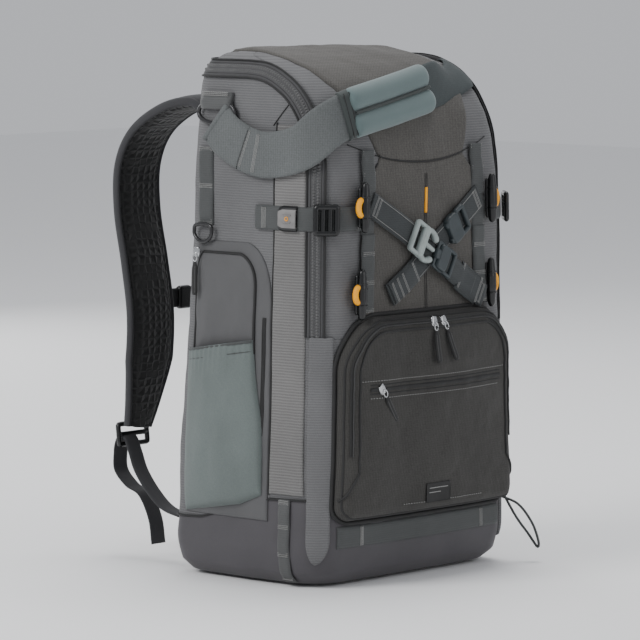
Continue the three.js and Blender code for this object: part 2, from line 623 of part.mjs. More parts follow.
// Webbing ladders on the front panel, and the two crossing straps with their buckles
const ladderX = 0.6 * halfW;
for (const [side, sign] of sides) {
  const strip = roundedBox(ladderX - narrowWebbing / 2, ladderX + narrowWebbing / 2,
    panelLow + 1, atZ(0.822), 1, 1, 1).map(([x, z]) => [sign * x, z]);
  const outer = block([farOut, farOut, farOut], [sign * (farOut / 2 + hookX - 8 - clear), 0, squeezeZ]);
  const cut = outer.intersect(block([2 * farOut, farOut, 2 * squeezeHalf + 2 * clear], [0, 0, squeezeZ]));
  add("front_daisy_chain_" + side, laid(0, alongY(strip, -farOut, 0)).subtract(cut), webbingGrey);
}
const falling = { x0: -0.6 * halfW, z0: atZ(0.722), x1: 0.6 * halfW, z1: atZ(0.528) };
const rising = { x0: -0.4 * halfW, z0: atZ(0.546), x1: 0.6 * halfW, z1: atZ(0.722) };
const crossHalf = 12.5;
add("rising_strap", laid(1, slanted(rising.x0, rising.z0, rising.x1, rising.z1, crossHalf)), webbingGrey);
add("falling_strap", laid(2, slanted(falling.x0, falling.z0, falling.x1, falling.z1, crossHalf)), webbingGrey);

function onStrap(strap, share, out) {
  const [x, z] = [strap.x0 + (strap.x1 - strap.x0) * share, strap.z0 + (strap.z1 - strap.z0) * share];
  return { at: [x, frontAt(z) - frontBulge - out, z],
    across: [strap.x1 - strap.x0, 0, strap.z1 - strap.z0] };
}
function buckle(name, strap, share, width, height, slots, colour, level) {
  const where = onStrap(strap, share, overLayer(level) + buckleThick / 2);
  add(name, plate([width, height, buckleThick], slots, where.at, where.across, [0, -1, 0], 5), colour, 0.45);
}
buckle("buckle_frame", falling, 0.4, 34, 35, [[-13, -8, -13, 13], [1, 13, -6, 6]], buckleGrey, 2);
buckle("buckle_catch", falling, 0.4 + (buckleLength - 10) / 182, 30, 30, [[4, 10, -11, 11]], black, 2);
buckle("rising_buckle", rising, 0.7, 34, 30, [[-13, -7, -11, 11], [1, 11, -8, 8]], black, 1);

// Spindle hooks at the straps' ends, each held by an elastic loop through its middle
const hookSeat = { upper: overLayer(0) + hookRise / 2 + 2.5, lower: overLayer(0) + hookRise / 2 + 0.2 };
const spindle = (long, wide) => solid(new THREE.LatheGeometry([[0, -0.5], [0.3, -0.5], [0.36, -0.44],
  [0.5, -0.06], [0.5, 0.06], [0.36, 0.44], [0.3, 0.5], [0, 0.5]]
  .map(([r, y]) => new THREE.Vector2(r * wide, y * long)), 8).rotateX(Math.PI / 2));
const hookLevels = { upper: 0.716, lower: 0.553 };
for (const [row, share] of Object.entries(hookLevels)) {
  for (const [side, sign] of sides) {
    const level = atZ(share);
    const centre = [sign * hookX, frontAt(level) - hookSeat[row], level];
    const loop = (grow) => {
      const torus = new THREE.TorusGeometry(4, 1, 5, 10);
      const wire = loopWidth * 0.17 + grow / 2;
      return solid(set(warped(torus, (p) => {
        const turn = Math.atan2(p.y, p.x);
        const rise = (Math.hypot(p.x, p.y) - 4) * wire;
        return [(loopWidth * 0.42 + rise) * Math.cos(turn), (loopWidth * 0.62 + rise) * Math.sin(turn),
          p.z * wire];
      }), [centre[0] + sign * 4.6, centre[1] + 1, level], [1, 0, 0], [0, -1, 0]));
    };
    const hook = spindle(hookLength, hookWidth + 3).translate(centre);
    add("hook_" + row + "_" + side, hook.subtract(loop(2 * clear)), black, 0.35);
    add("elastic_loop_" + row + "_" + side, loop(0), amber, 0.6);
  }
}

// Webbing across the base under the pocket, a hanging tail, a small loop and the pocket's label
const baseLow = atZ(0.076);
add("base_webbing", skin(clear, clear + webbingThick).intersect(alongY([[-0.83 * halfW, baseLow],
  [0.83 * halfW, baseLow], [0.83 * halfW, baseLow + baseWebbing], [-0.83 * halfW, baseLow + baseWebbing]],
-farOut, 0)), webbingGrey);
const tailY = atY(-0.55);
add("tail_webbing", skin(clear, clear + webbingThick).intersect(alongX([[tailY - tailWebbing / 2, 5], [tailY + tailWebbing / 2, 5],
  [tailY + tailWebbing / 2, atZ(0.168)], [tailY - tailWebbing / 2, atZ(0.168)]], -farOut, -halfW / 2)),
webbingGrey);
const labelAt = [0, pocketFront - pocketRise - clear - 0.6, pocketLow + 20];
add("pocket_label", block([36, 1.2, 19], labelAt).subtract(pocketForm(-clear, pocketBack)), black, 0.8);
const cordRoot = (height) => ({ at: onBody(22.8, height, layerBase).toArray(), faces: [1, 0, 0] });
const cordPath = [cordRoot(0.142), ...[[0.99, -1.12, 0.06], [1.02, -1.27, 0.03], [1.02, -1.22, 0.075]]
  .map(([x, y, z]) => ({ at: [x * halfW, y * halfD, z * bodyHeight], faces: [1, 0, 0] })), cordRoot(0.125)];
add("cord_loop", solid(ribbon(cordPath, 5, 3, 14)).subtract(body(stripCloth + clear)), black, 0.8);

export default group;
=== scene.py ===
"""A tall camera backpack: soft shells, pockets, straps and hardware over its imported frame."""
import math

import bmesh
import bpy
import numpy as np
from mathutils import Matrix, Vector
from mathutils.bvhtree import BVHTree


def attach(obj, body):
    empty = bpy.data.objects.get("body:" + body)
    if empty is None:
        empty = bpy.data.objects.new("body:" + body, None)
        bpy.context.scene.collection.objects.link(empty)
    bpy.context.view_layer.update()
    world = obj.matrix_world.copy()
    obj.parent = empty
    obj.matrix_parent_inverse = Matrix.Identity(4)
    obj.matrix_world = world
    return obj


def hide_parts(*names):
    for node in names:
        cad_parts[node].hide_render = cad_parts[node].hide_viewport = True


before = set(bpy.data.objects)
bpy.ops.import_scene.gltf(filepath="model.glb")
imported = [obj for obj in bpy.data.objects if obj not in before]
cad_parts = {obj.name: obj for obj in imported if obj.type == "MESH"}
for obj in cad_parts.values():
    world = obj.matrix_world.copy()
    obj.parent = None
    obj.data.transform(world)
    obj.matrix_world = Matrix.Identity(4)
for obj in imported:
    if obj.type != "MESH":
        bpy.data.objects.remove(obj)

bl_info = {
    "name": "Camera backpack",
    "version": (1, 0, 0),
    "blender": (4, 5, 0),
    "location": "View3D > Sidebar > Backpack",
    "description": "Builds a tall camera backpack in cloth, webbing and moulded plastic",
    "category": "Object",
}

MM = 0.001
SIDES = (("left", -1), ("right", 1))
FORWARD = np.array([0, -1.0, 0])
# The camera's place for the photograph, in degrees
AZIMUTH, ELEVATION = -48.0, 5.5


def linear(code):
    """Linear colour of a display colour code"""
    parts = [int(code[i:i + 2], 16) / 255 for i in (1, 3, 5)]
    return tuple(c / 12.92 if c <= 0.04045 else ((c + 0.055) / 1.055) ** 2.4 for c in parts)


class PackSizes(bpy.types.PropertyGroup):
    """Sizes that the pieces share"""
    height: bpy.props.FloatProperty(name="Height", description="Base to crown", default=0.518,
                                    subtype="DISTANCE", unit="LENGTH")
    width: bpy.props.FloatProperty(name="Width", description="Width at the base", default=0.296,
                                   subtype="DISTANCE", unit="LENGTH")
    depth: bpy.props.FloatProperty(name="Depth", description="Front to back", default=0.204,
                                   subtype="DISTANCE", unit="LENGTH")
    narrowing: bpy.props.FloatProperty(name="Narrowing", description="Width lost at the crown",
                                       default=0.108, subtype="FACTOR")
    front_radius: bpy.props.FloatProperty(name="Front radius", description="Front corner radius",
                                          default=0.036, subtype="DISTANCE", unit="LENGTH")
    back_radius: bpy.props.FloatProperty(name="Back radius", description="Back corner radius",
                                         default=0.024, subtype="DISTANCE", unit="LENGTH")
    slack: bpy.props.FloatProperty(name="Slack", description="Height of the cloth's soft dents",
                                   default=0.0015, subtype="DISTANCE", unit="LENGTH")
    webbing: bpy.props.FloatProperty(name="Webbing", description="Width of narrow webbing",
                                     default=0.020, subtype="DISTANCE", unit="LENGTH")


class PackColours(bpy.types.PropertyGroup):
    """Colours that the pieces share"""
    light: bpy.props.FloatVectorProperty(name="Light cloth", description="Lid, body and corner tongues",
                                         default=linear("#656566"), subtype="COLOR", size=3, min=0, max=1)
    strip: bpy.props.FloatVectorProperty(name="Strip cloth", description="Ribbed strips down the sides",
                                         default=linear("#6f6e6d"), subtype="COLOR", size=3, min=0, max=1)
    dark: bpy.props.FloatVectorProperty(name="Dark cloth", description="Front and crown panels",
                                        default=linear("#514f4c"), subtype="COLOR", size=3, min=0, max=1)
    pocket: bpy.props.FloatVectorProperty(name="Pocket cloth", description="Big front pocket",
                                          default=linear("#3c3b39"), subtype="COLOR", size=3, min=0, max=1)
    boot: bpy.props.FloatVectorProperty(name="Boot cloth", description="Coated base",
                                        default=linear("#4c4a4d"), subtype="COLOR", size=3, min=0, max=1)
    webbing: bpy.props.FloatVectorProperty(name="Webbing", description="Daisy chains and side straps",
                                           default=linear("#484a4a"), subtype="COLOR", size=3, min=0, max=1)
    carry: bpy.props.FloatVectorProperty(name="Carry webbing", description="Carry strap",
                                         default=linear("#5e6161"), subtype="COLOR", size=3, min=0, max=1)
    grip: bpy.props.FloatVectorProperty(name="Grip cloth", description="Rolled grip",
                                        default=linear("#5c6c6c"), subtype="COLOR", size=3, min=0, max=1)
    black: bpy.props.FloatVectorProperty(name="Black plastic", description="Hooks and buckles",
                                         default=linear("#0e0f10"), subtype="COLOR", size=3, min=0, max=1)
    pale: bpy.props.FloatVectorProperty(name="Pale plastic", description="Buckle on the crossing straps",
                                        default=linear("#949d9b"), subtype="COLOR", size=3, min=0, max=1)
    amber: bpy.props.FloatVectorProperty(name="Amber elastic", description="Elastic loops at the hooks",
                                         default=linear("#ffa800"), subtype="COLOR", size=3, min=0, max=1)


def sizes():
    return bpy.context.scene.pack_sizes


def colour_of(name):
    """Linear colour of a shared colour by its name, or of a display colour code"""
    return linear(name) if name.startswith("#") else tuple(getattr(bpy.context.scene.pack_colours, name))


# Level sections of the body, as shares: height, half width, front, back and how far the wall
# faces up. They are the solids' own, but for the last two, which are centred here
SECTIONS = np.array([
    (0, 0.82, 0.72, 0.78, -1), (0.008, 0.91, 0.86, 0.9, -0.75), (0.027, 0.97, 0.955, 0.97, -0.4),
    (0.068, 1, 1, 1, 0), (0.23, 1, 1.01, 0.975, 0), (0.46, 1, 1.01, 0.905, 0),
    (0.66, 1, 1.01, 0.855, 0), (0.772, 1, 1.005, 0.825, 0), (0.83, 0.998, 0.97, 0.81, 0.02),
    (0.878, 0.996, 0.89, 0.8, 0.1), (0.917, 0.992, 0.77, 0.79, 0.2), (0.946, 0.98, 0.62, 0.775, 0.32),
    (0.969, 0.95, 0.42, 0.75, 0.5), (0.985, 0.9, 0.16, 0.71, 0.72), (0.995, 0.82, -0.12, 0.65, 0.9),
    (1, 0.66, -0.26, 0.54, 1), (1.003, 0.3, -0.34, 0.46, 1), (1.004, 0.001, -0.4, 0.4, 1),
])


class Form:
    """The body's surface, in millimetres"""

    def __init__(self):
        s = sizes()
        self.high, self.half, self.deep = s.height / MM, s.width / 2 / MM, s.depth / 2 / MM
        self.radii = (s.front_radius / MM, s.back_radius / MM)
        rows = SECTIONS * [self.high, self.half, self.deep, self.deep, 1]
        steps = np.hypot(np.diff(rows[:, 0]), np.diff(rows[:, 2]))
        run = np.concatenate([[0], np.cumsum(steps)])
        fine = np.arange(0, run[-1] + 1, 1.0)
        table = np.stack([np.interp(fine, run, rows[:, i]) for i in range(5)], 1)
        kernel = np.hanning(27)
        kernel /= kernel.sum()
        ends = np.pad(table, ((13, 13), (0, 0)), mode="reflect", reflect_type="odd")
        smooth = np.stack([np.convolve(ends[:, i], kernel, "valid") for i in range(5)], 1)
        blend = np.clip((fine - 20) / 30, 0, 1)[:, None] * np.clip((fine[-1] - fine) / 20, 0, 1)[:, None]
        self.rows = table + (smooth - table) * blend
        self.fine, self.crown = fine, fine[-1]
        self.slack = s.slack / MM

    def row(self, w):
        return [np.interp(w, self.fine, self.rows[:, i]) for i in range(5)]

    def level(self, z):
        """Place on the profile at a height"""
        rising = np.maximum.accumulate(self.rows[:, 0])
        return np.interp(z, rising, self.fine)

    def spans(self, w, out=0.0):
        z, half, front, back, lift = self.row(w)
        spread = out * np.sqrt(np.maximum(1 - lift * lift, 0))
        half, front, back = half + spread, -front - spread, back + spread
        most = 0.45 * (back - front)
        corner = [np.minimum(r + spread, most) for r in self.radii]
        corner = [np.minimum(r, half) for r in corner]
        return z + out * lift, half, front, back, corner[0], corner[1], lift

    def at(self, s, w, out=0.0):
        """Point on the softly dented cloth, or at a height off it"""
        base = self.plain(s, w)
        calm = smoothstep((base[..., 2] - 30) / 50)
        return self.plain(s, w, out + dents(base, self.slack, 3.0, (1, 1, 0.7)) * calm)

    def plain(self, s, w, out=0.0):
        """Point at a place round the rim (0 front, 2 to 3 side, 5 back; negative left)"""
        s, w, out = np.broadcast_arrays(np.asarray(s, float), np.asarray(w, float), np.asarray(out, float))
        z, half, front, back, rf, rb, lift = self.spans(w, out)
        a = np.abs(s)
        side = np.where(s < 0, -1.0, 1.0)
        flat = 1 - np.abs(lift)
        t = np.clip(a - 2, 0, 1)
        turn = np.clip(a - 1, 0, 1) * math.pi / 2
        rear = np.clip(a - 3, 0, 1) * math.pi / 2
        x = np.select([a <= 1, a <= 2, a <= 3, a <= 4], [
            a * (half - rf), half - rf + rf * np.sin(turn), half + 12 * t * (1 - t) * flat,
            half - rb + rb * np.cos(rear)], (5 - a) * (half - rb))
        y = np.select([a <= 1, a <= 2, a <= 3, a <= 4], [
            front - 5 * (1 - a * a) * flat, front + rf * (1 - np.cos(turn)),
            front + rf + t * (back - rb - front - rf), back - rb + rb * np.sin(rear)], back)
        return np.stack([side * x, y, z], -1)

    def by_x(self, x, w):
        _, half, _, _, rf, _, _ = self.spans(w)
        a = np.abs(x)
        flat = a / (half - rf)
        corner = 1 + np.arcsin(np.clip((a - half + rf) / rf, 0, 1)) / (math.pi / 2)
        return np.where(a < half - rf, flat, corner) * np.where(x < 0, -1, 1)

    def by_y(self, y, w):
        _, _, front, back, rf, rb, _ = self.spans(w)
        side = 2 + (y - front - rf) / (back - rb - front - rf)
        near = 1 + np.arccos(np.clip(1 - (y - front) / rf, -1, 1)) / (math.pi / 2)
        far = 3 + np.arcsin(np.clip((y - back + rb) / rb, 0, 1)) / (math.pi / 2)
        return np.where(y < front + rf, near, np.where(y > back - rb, far, side))

    def front(self, x, z, out=0.0):
        w = self.level(z)
        return self.at(self.by_x(x, w), w, out)

    def side(self, sign, y, z, out=0.0):
        w = self.level(z)
        return self.at(sign * self.by_y(y, w), w, out)

    def normal(self, s, w):
        n = self.at(s, w, 1.0) - self.at(s, w, 0.0)
        return n / np.linalg.norm(n, axis=-1, keepdims=True)


def noise3(p, size, seed=0.0):
    """Smooth lattice noise from -1 to 1 at points, with features of a size"""
    q = np.asarray(p) / size + seed
    cell = np.floor(q)
    f = q - cell
    f = f * f * (3 - 2 * f)
    total = 0
    for i in range(8):
        corner = np.array([i & 1, (i >> 1) & 1, (i >> 2) & 1])
        spot = cell + corner
        value = np.sin(spot @ np.array([127.1, 311.7, 74.7]) + seed) * 43758.5453
        value = (value - np.floor(value)) * 2 - 1
        total = total + value * np.prod(np.where(corner, f, 1 - f), -1)
    return total


def grid_points(nu, nv, layers=False):
    """An operator-made grid in a unit square, in two layers where it is a slab"""
    bm = bmesh.new()
    bmesh.ops.create_grid(bm, x_segments=nu, y_segments=nv, size=0.5)
    if layers:
        made = bmesh.ops.extrude_face_region(bm, geom=bm.faces[:])
        raised = [v for v in made["geom"] if isinstance(v, bmesh.types.BMVert)]
        bmesh.ops.translate(bm, verts=raised, vec=(0, 0, 1))
    mesh = bpy.data.meshes.new("grid")
    bm.to_mesh(mesh)
    bm.free()
    return mesh


def moved(mesh, place):
    """Moves a unit grid's points by a formula of u, v and layer"""
    count = len(mesh.vertices)
    flat = np.empty(count * 3)
    mesh.vertices.foreach_get("co", flat)
    p = flat.reshape(-1, 3)
    made = place(p[:, 0] + 0.5, p[:, 1] + 0.5, p[:, 2])
    mesh.vertices.foreach_set("co", np.ascontiguousarray(made, float).ravel())
    return mesh


class Piece:
    """Gathers meshes in millimetres and makes them one object in metres"""

    def __init__(self, name):
        self.name = name
        self.bm = bmesh.new()

    def take(self, mesh, material=0):
        start = len(self.bm.faces)
        self.bm.from_mesh(mesh)
        self.bm.faces.ensure_lookup_table()
        for face in self.bm.faces[start:]:
            face.material_index = material
        bpy.data.meshes.remove(mesh)

    def slab(self, nu, nv, place, material=0):
        self.take(moved(grid_points(nu, nv, True), place), material)

    def sheet(self, nu, nv, place, material=0):
        self.take(moved(grid_points(nu, nv), place), material)

    def tube(self, path, radius, sides=8, closed=False, material=0, squash=1.0, face=None):
        """A round or flattened tube along points"""
        path = np.asarray(path, float)
        count = len(path)
        if closed:
            ahead = np.roll(path, -1, 0) - np.roll(path, 1, 0)
            rows = np.vstack([path, path[:1]])
            ahead = np.vstack([ahead, ahead[:1]])
        else:
            ahead, rows = np.gradient(path, axis=0), path
        ahead /= np.linalg.norm(ahead, axis=1, keepdims=True) + 1e-12
        if face is None:
            guide = np.array([0.31, 0.17, 0.94])
            across = np.cross(ahead, guide)
        else:
            face = np.broadcast_to(np.asarray(face, float), path.shape)
            face = np.vstack([face, face[:1]]) if closed else face
            across = np.cross(ahead, face)
        across /= np.linalg.norm(across, axis=1, keepdims=True) + 1e-12
        up = np.cross(across, ahead)
        radius = np.broadcast_to(np.asarray(radius, float), (count,))
        radius = np.append(radius, radius[0]) if closed else radius
        steps = len(rows)

        def place(u, v, k):
            i = np.rint(v * (steps - 1)).astype(int)
            turn = u * 2 * math.pi
            r = radius[i][:, None]
            sideways = across[i] * r * np.cos(turn)[:, None]
            return rows[i] + sideways + up[i] * r * squash * np.sin(turn)[:, None]
        self.sheet(sides, steps - 1, place, material)

    def finish(self, materials, nodes=(), weld=0.02, caps=True):
        bm = self.bm
        bmesh.ops.remove_doubles(bm, verts=bm.verts[:], dist=weld)
        if caps:
            bmesh.ops.holes_fill(bm, edges=[e for e in bm.edges if e.is_boundary], sides=24)
        bmesh.ops.dissolve_degenerate(bm, edges=bm.edges[:], dist=0.001)
        bmesh.ops.recalc_face_normals(bm, faces=bm.faces[:])
        mesh = bpy.data.meshes.new(self.name)
        bm.to_mesh(mesh)
        bm.free()
        flat = np.empty(len(mesh.vertices) * 3)
        mesh.vertices.foreach_get("co", flat)
        p = flat.reshape(-1, 3)
        s = sizes()
        p[:, 0] *= 1 - s.narrowing * p[:, 2] / (s.height / MM)
        mesh.vertices.foreach_set("co", (p * MM).ravel())
        mesh.shade_smooth()
        obj = bpy.data.objects.new(self.name, mesh)
        bpy.context.collection.objects.link(obj)
        for material in materials if isinstance(materials, (list, tuple)) else [materials]:
            mesh.materials.append(material)
        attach(obj, "root")
        if nodes:
            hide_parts(*nodes)


def smoothstep(t):
    t = np.clip(t, 0, 1)
    return t * t * (3 - 2 * t)


def soft_edge(gap, radius):
    """Rounded fall of a sheet's edge, from 0 at the edge to 1 a radius inside it"""
    return np.sqrt(np.clip(1 - (1 - np.clip(gap / radius, 0, 1)) ** 2, 0, 1))


def run_along(points):
    """Length run so far at each point of a line"""
    return np.concatenate([[0], np.cumsum(np.linalg.norm(np.diff(points, axis=0), axis=1))])


def between(at, given, rows):
    """Rows of numbers read off between the given places"""
    return np.stack([np.interp(at, given, column) for column in rows.T], 1)


def averaged(rows, count):
    """Rows of numbers averaged over their neighbours"""
    ends = np.pad(rows, ((count // 2, count // 2), (0, 0)), mode="edge")
    return np.stack([np.convolve(column, np.ones(count) / count, "valid") for column in ends.T], 1)


def rounded_span(z, half, low, high, top, bottom):
    """Half width at a height of an outline with rounded corners"""
    up = np.clip((z - high + top) / top, 0, 1)
    down = np.clip((low + bottom - z) / bottom, 0, 1)
    return half - top * (1 - np.sqrt(1 - up ** 2)) - bottom * (1 - np.sqrt(1 - down ** 2))


def along(points, count):
    """Points spaced evenly on a smooth line through the given ones"""
    p = np.asarray(points, float)
    ends = np.vstack([2 * p[0] - p[1], p, 2 * p[-1] - p[-2]])
    fine = []
    for i in range(len(p) - 1):
        a, b, c, d = ends[i:i + 4]
        for f in np.linspace(0, 1, 24, endpoint=False):
            fine.append(0.5 * ((2 * b) + (-a + c) * f + (2 * a - 5 * b + 4 * c - d) * f * f
                               + (-a + 3 * b - 3 * c + d) * f ** 3))
    fine = np.array(fine + [p[-1]])
    run = run_along(fine)
    return between(np.linspace(0, run[-1], count), run, fine)


def dents(p, slack, seed=0.0, stretch=(1, 1, 1)):
    """Soft dents and small puckers of cloth at points"""
    q = np.asarray(p) * np.array(stretch)
    return slack * (noise3(q, 46, seed) + 0.45 * noise3(q, 19, seed + 5) + 0.2 * noise3(q, 8, seed + 9))


def front_spot(form, x, z, out):
    """One point off the front"""
    return form.front(np.array([float(x)]), np.array([float(z)]), out)[0]


def side_spot(form, sign, y, z, out):
    """One point off a side"""
    return form.side(sign, np.array([float(y)]), np.array([float(z)]), out)[0]


def turns(count):
    """Angles evenly round a circle"""
    return np.linspace(0, 2 * math.pi, count, endpoint=False)


# Materials

def group_tree(name, inputs, outputs):
    tree = bpy.data.node_groups.new(name, "ShaderNodeTree")
    for label, kind, value in inputs:
        socket = tree.interface.new_socket(name=label, in_out="INPUT", socket_type=kind)
        if value is not None:
            socket.default_value = value
    for label, kind in outputs:
        tree.interface.new_socket(name=label, in_out="OUTPUT", socket_type=kind)
    return tree, tree.nodes.new("NodeGroupInput"), tree.nodes.new("NodeGroupOutput")


def math_node(tree, operation, a, b=None, c=None):
    node = tree.nodes.new("ShaderNodeMath")
    node.operation = operation
    for i, value in enumerate((a, b, c)):
        if value is None:
            continue
        if isinstance(value, (int, float)):
            node.inputs[i].default_value = value
        else:
            tree.links.new(value, node.inputs[i])
    return node.outputs[0]


def weave_group():
    """Threads that cross over and under, with rows that can stand out"""
    name = "Cloth weave"
    if name in bpy.data.node_groups:
        return bpy.data.node_groups[name]
    tree, given, out = group_tree(name, [
        ("Vector", "NodeSocketVector", None), ("Pitch", "NodeSocketFloat", 0.001),
        ("Rows", "NodeSocketFloat", 0.3), ("Slant", "NodeSocketFloat", 0.0)],
        [("Height", "NodeSocketFloat"), ("Tint", "NodeSocketFloat")])
    parts = tree.nodes.new("ShaderNodeSeparateXYZ")
    shake = noise_node(tree, given.outputs["Vector"], 90)
    tree.links.new(given.outputs["Vector"], parts.inputs[0])
    turn = math_node(tree, "DIVIDE", 2 * math.pi, given.outputs["Pitch"])
    level = math_node(tree, "MULTIPLY_ADD", shake, 0.0011, parts.outputs["Z"])
    across = math_node(tree, "SUBTRACT", parts.outputs["X"], parts.outputs["Y"])
    slanted = math_node(tree, "MULTIPLY_ADD", parts.outputs["Z"], given.outputs["Slant"], across)
    rows = math_node(tree, "SINE", math_node(tree, "MULTIPLY", level, turn))
    cross = math_node(tree, "SINE", math_node(tree, "MULTIPLY", slanted, turn))
    over = math_node(tree, "MULTIPLY", rows, cross)
    mixed = math_node(tree, "MULTIPLY_ADD", rows, given.outputs["Rows"], over)
    height = math_node(tree, "MULTIPLY_ADD", mixed, 0.35, 0.5)
    fleck = math_node(tree, "MULTIPLY", noise_node(tree, given.outputs["Vector"], 700), 0.5)
    tree.links.new(height, out.inputs["Height"])
    tree.links.new(math_node(tree, "MULTIPLY_ADD", height, 0.5, fleck), out.inputs["Tint"])
    return tree


def mottle_group():
    """Broad uneven tone and rubbed patches"""
    name = "Cloth tone"
    if name in bpy.data.node_groups:
        return bpy.data.node_groups[name]
    tree, given, out = group_tree(name, [("Vector", "NodeSocketVector", None)],
                                  [("Tone", "NodeSocketFloat"), ("Fine", "NodeSocketFloat")])
    for scale, detail, label in ((14, 3, "Tone"), (160, 4, "Fine")):
        tree.links.new(noise_node(tree, given.outputs["Vector"], scale, detail), out.inputs[label])
    return tree


def new_material(name):
    material = bpy.data.materials.new(name)
    material.use_nodes = True
    tree = material.node_tree
    shader = tree.nodes["Principled BSDF"]
    place = tree.nodes.new("ShaderNodeTexCoord")
    return material, tree, shader, place.outputs["Object"]


def use_group(tree, group, vector, **values):
    node = tree.nodes.new("ShaderNodeGroup")
    node.node_tree = group
    tree.links.new(vector, node.inputs["Vector"])
    for label, value in values.items():
        node.inputs[label].default_value = value
    return node


def noise_node(tree, vector, scale, detail=2):
    node = tree.nodes.new("ShaderNodeTexNoise")
    node.inputs["Scale"].default_value = scale
    node.inputs["Detail"].default_value = detail
    tree.links.new(vector, node.inputs["Vector"])
    return node.outputs["Fac"]


def bump_by(tree, shader, height, strength, distance):
    """Raise a material's surface by a height"""
    node = tree.nodes.new("ShaderNodeBump")
    node.inputs["Strength"].default_value = strength
    node.inputs["Distance"].default_value = distance
    tree.links.new(height, node.inputs["Height"])
    tree.links.new(node.outputs["Normal"], shader.inputs["Normal"])


def ramp(tree, factor, dark, light, low=0.3, high=0.7):
    node = tree.nodes.new("ShaderNodeValToRGB")
    node.color_ramp.elements[0].position, node.color_ramp.elements[1].position = low, high
    node.color_ramp.elements[0].color, node.color_ramp.elements[1].color = (*dark, 1), (*light, 1)
    tree.links.new(factor, node.inputs["Fac"])
    return node.outputs["Color"]


def shade(colour, share):
    return [min(c * share, 1) for c in colour]


def fabric(name, code, pitch=1.0, rows=0.3, slant=0.0, bump=0.25, contrast=0.16, rough=0.86, sheen=0.12):
    material, tree, shader, vector = new_material(name)
    colour = colour_of(code)
    weave = use_group(tree, weave_group(), vector, Pitch=pitch * MM, Rows=rows, Slant=slant)
    mottle = use_group(tree, mottle_group(), vector)
    threads = ramp(tree, weave.outputs["Tint"], shade(colour, 1 - contrast), shade(colour, 1 + contrast))
    broad = ramp(tree, mottle.outputs["Tone"], [0.9] * 3, [1.06] * 3)
    mix = tree.nodes.new("ShaderNodeMix")
    mix.data_type, mix.blend_type = "RGBA", "MULTIPLY"
    mix.inputs["Factor"].default_value = 1
    tree.links.new(threads, mix.inputs["A"])
    tree.links.new(broad, mix.inputs["B"])
    tree.links.new(mix.outputs["Result"], shader.inputs["Base Color"])
    fine = math_node(tree, "MULTIPLY_ADD", mottle.outputs["Fine"], 0.14, rough - 0.07)
    tree.links.new(fine, shader.inputs["Roughness"])
    shader.inputs["Sheen Weight"].default_value = sheen
    shader.inputs["Sheen Roughness"].default_value = 0.5
    shader.inputs["Specular IOR Level"].default_value = 0.25
    height = math_node(tree, "MULTIPLY_ADD", mottle.outputs["Fine"], 0.6, weave.outputs["Height"])
    bump_by(tree, shader, height, bump, 0.0004)
    return material


def plastic(name, code, rough=0.38, metal=0.0):
    material, tree, shader, vector = new_material(name)
    colour = colour_of(code)
    mottle = use_group(tree, mottle_group(), vector)
    tree.links.new(ramp(tree, mottle.outputs["Fine"], shade(colour, 0.88), shade(colour, 1.12)),
                   shader.inputs["Base Color"])
    tree.links.new(math_node(tree, "MULTIPLY_ADD", mottle.outputs["Tone"], 0.2, rough - 0.1),
                   shader.inputs["Roughness"])
    shader.inputs["Metallic"].default_value = metal
    bump_by(tree, shader, mottle.outputs["Fine"], 0.08, 0.0003)
    return material


def air_mesh(name):
    """Open spacer mesh: small dark cells in a black net"""
    material, tree, shader, vector = new_material(name)
    cells = tree.nodes.new("ShaderNodeTexVoronoi")
    cells.feature = "DISTANCE_TO_EDGE"
    cells.inputs["Scale"].default_value = 120
    cells.inputs["Randomness"].default_value = 0.35
    tree.links.new(vector, cells.inputs["Vector"])
    mottle = use_group(tree, mottle_group(), vector)
    net = ramp(tree, cells.outputs["Distance"], linear("#1c1c1c"), linear("#030303"), 0.08, 0.34)
    tree.links.new(net, shader.inputs["Base Color"])
    shader.inputs["Roughness"].default_value = 0.8
    shader.inputs["Sheen Weight"].default_value = 0.15
    height = math_node(tree, "MULTIPLY_ADD", mottle.outputs["Fine"], 0.3,
                       math_node(tree, "MULTIPLY", cells.outputs["Distance"], -2.0))
    bump_by(tree, shader, height, 1.0, 0.002)
    return material


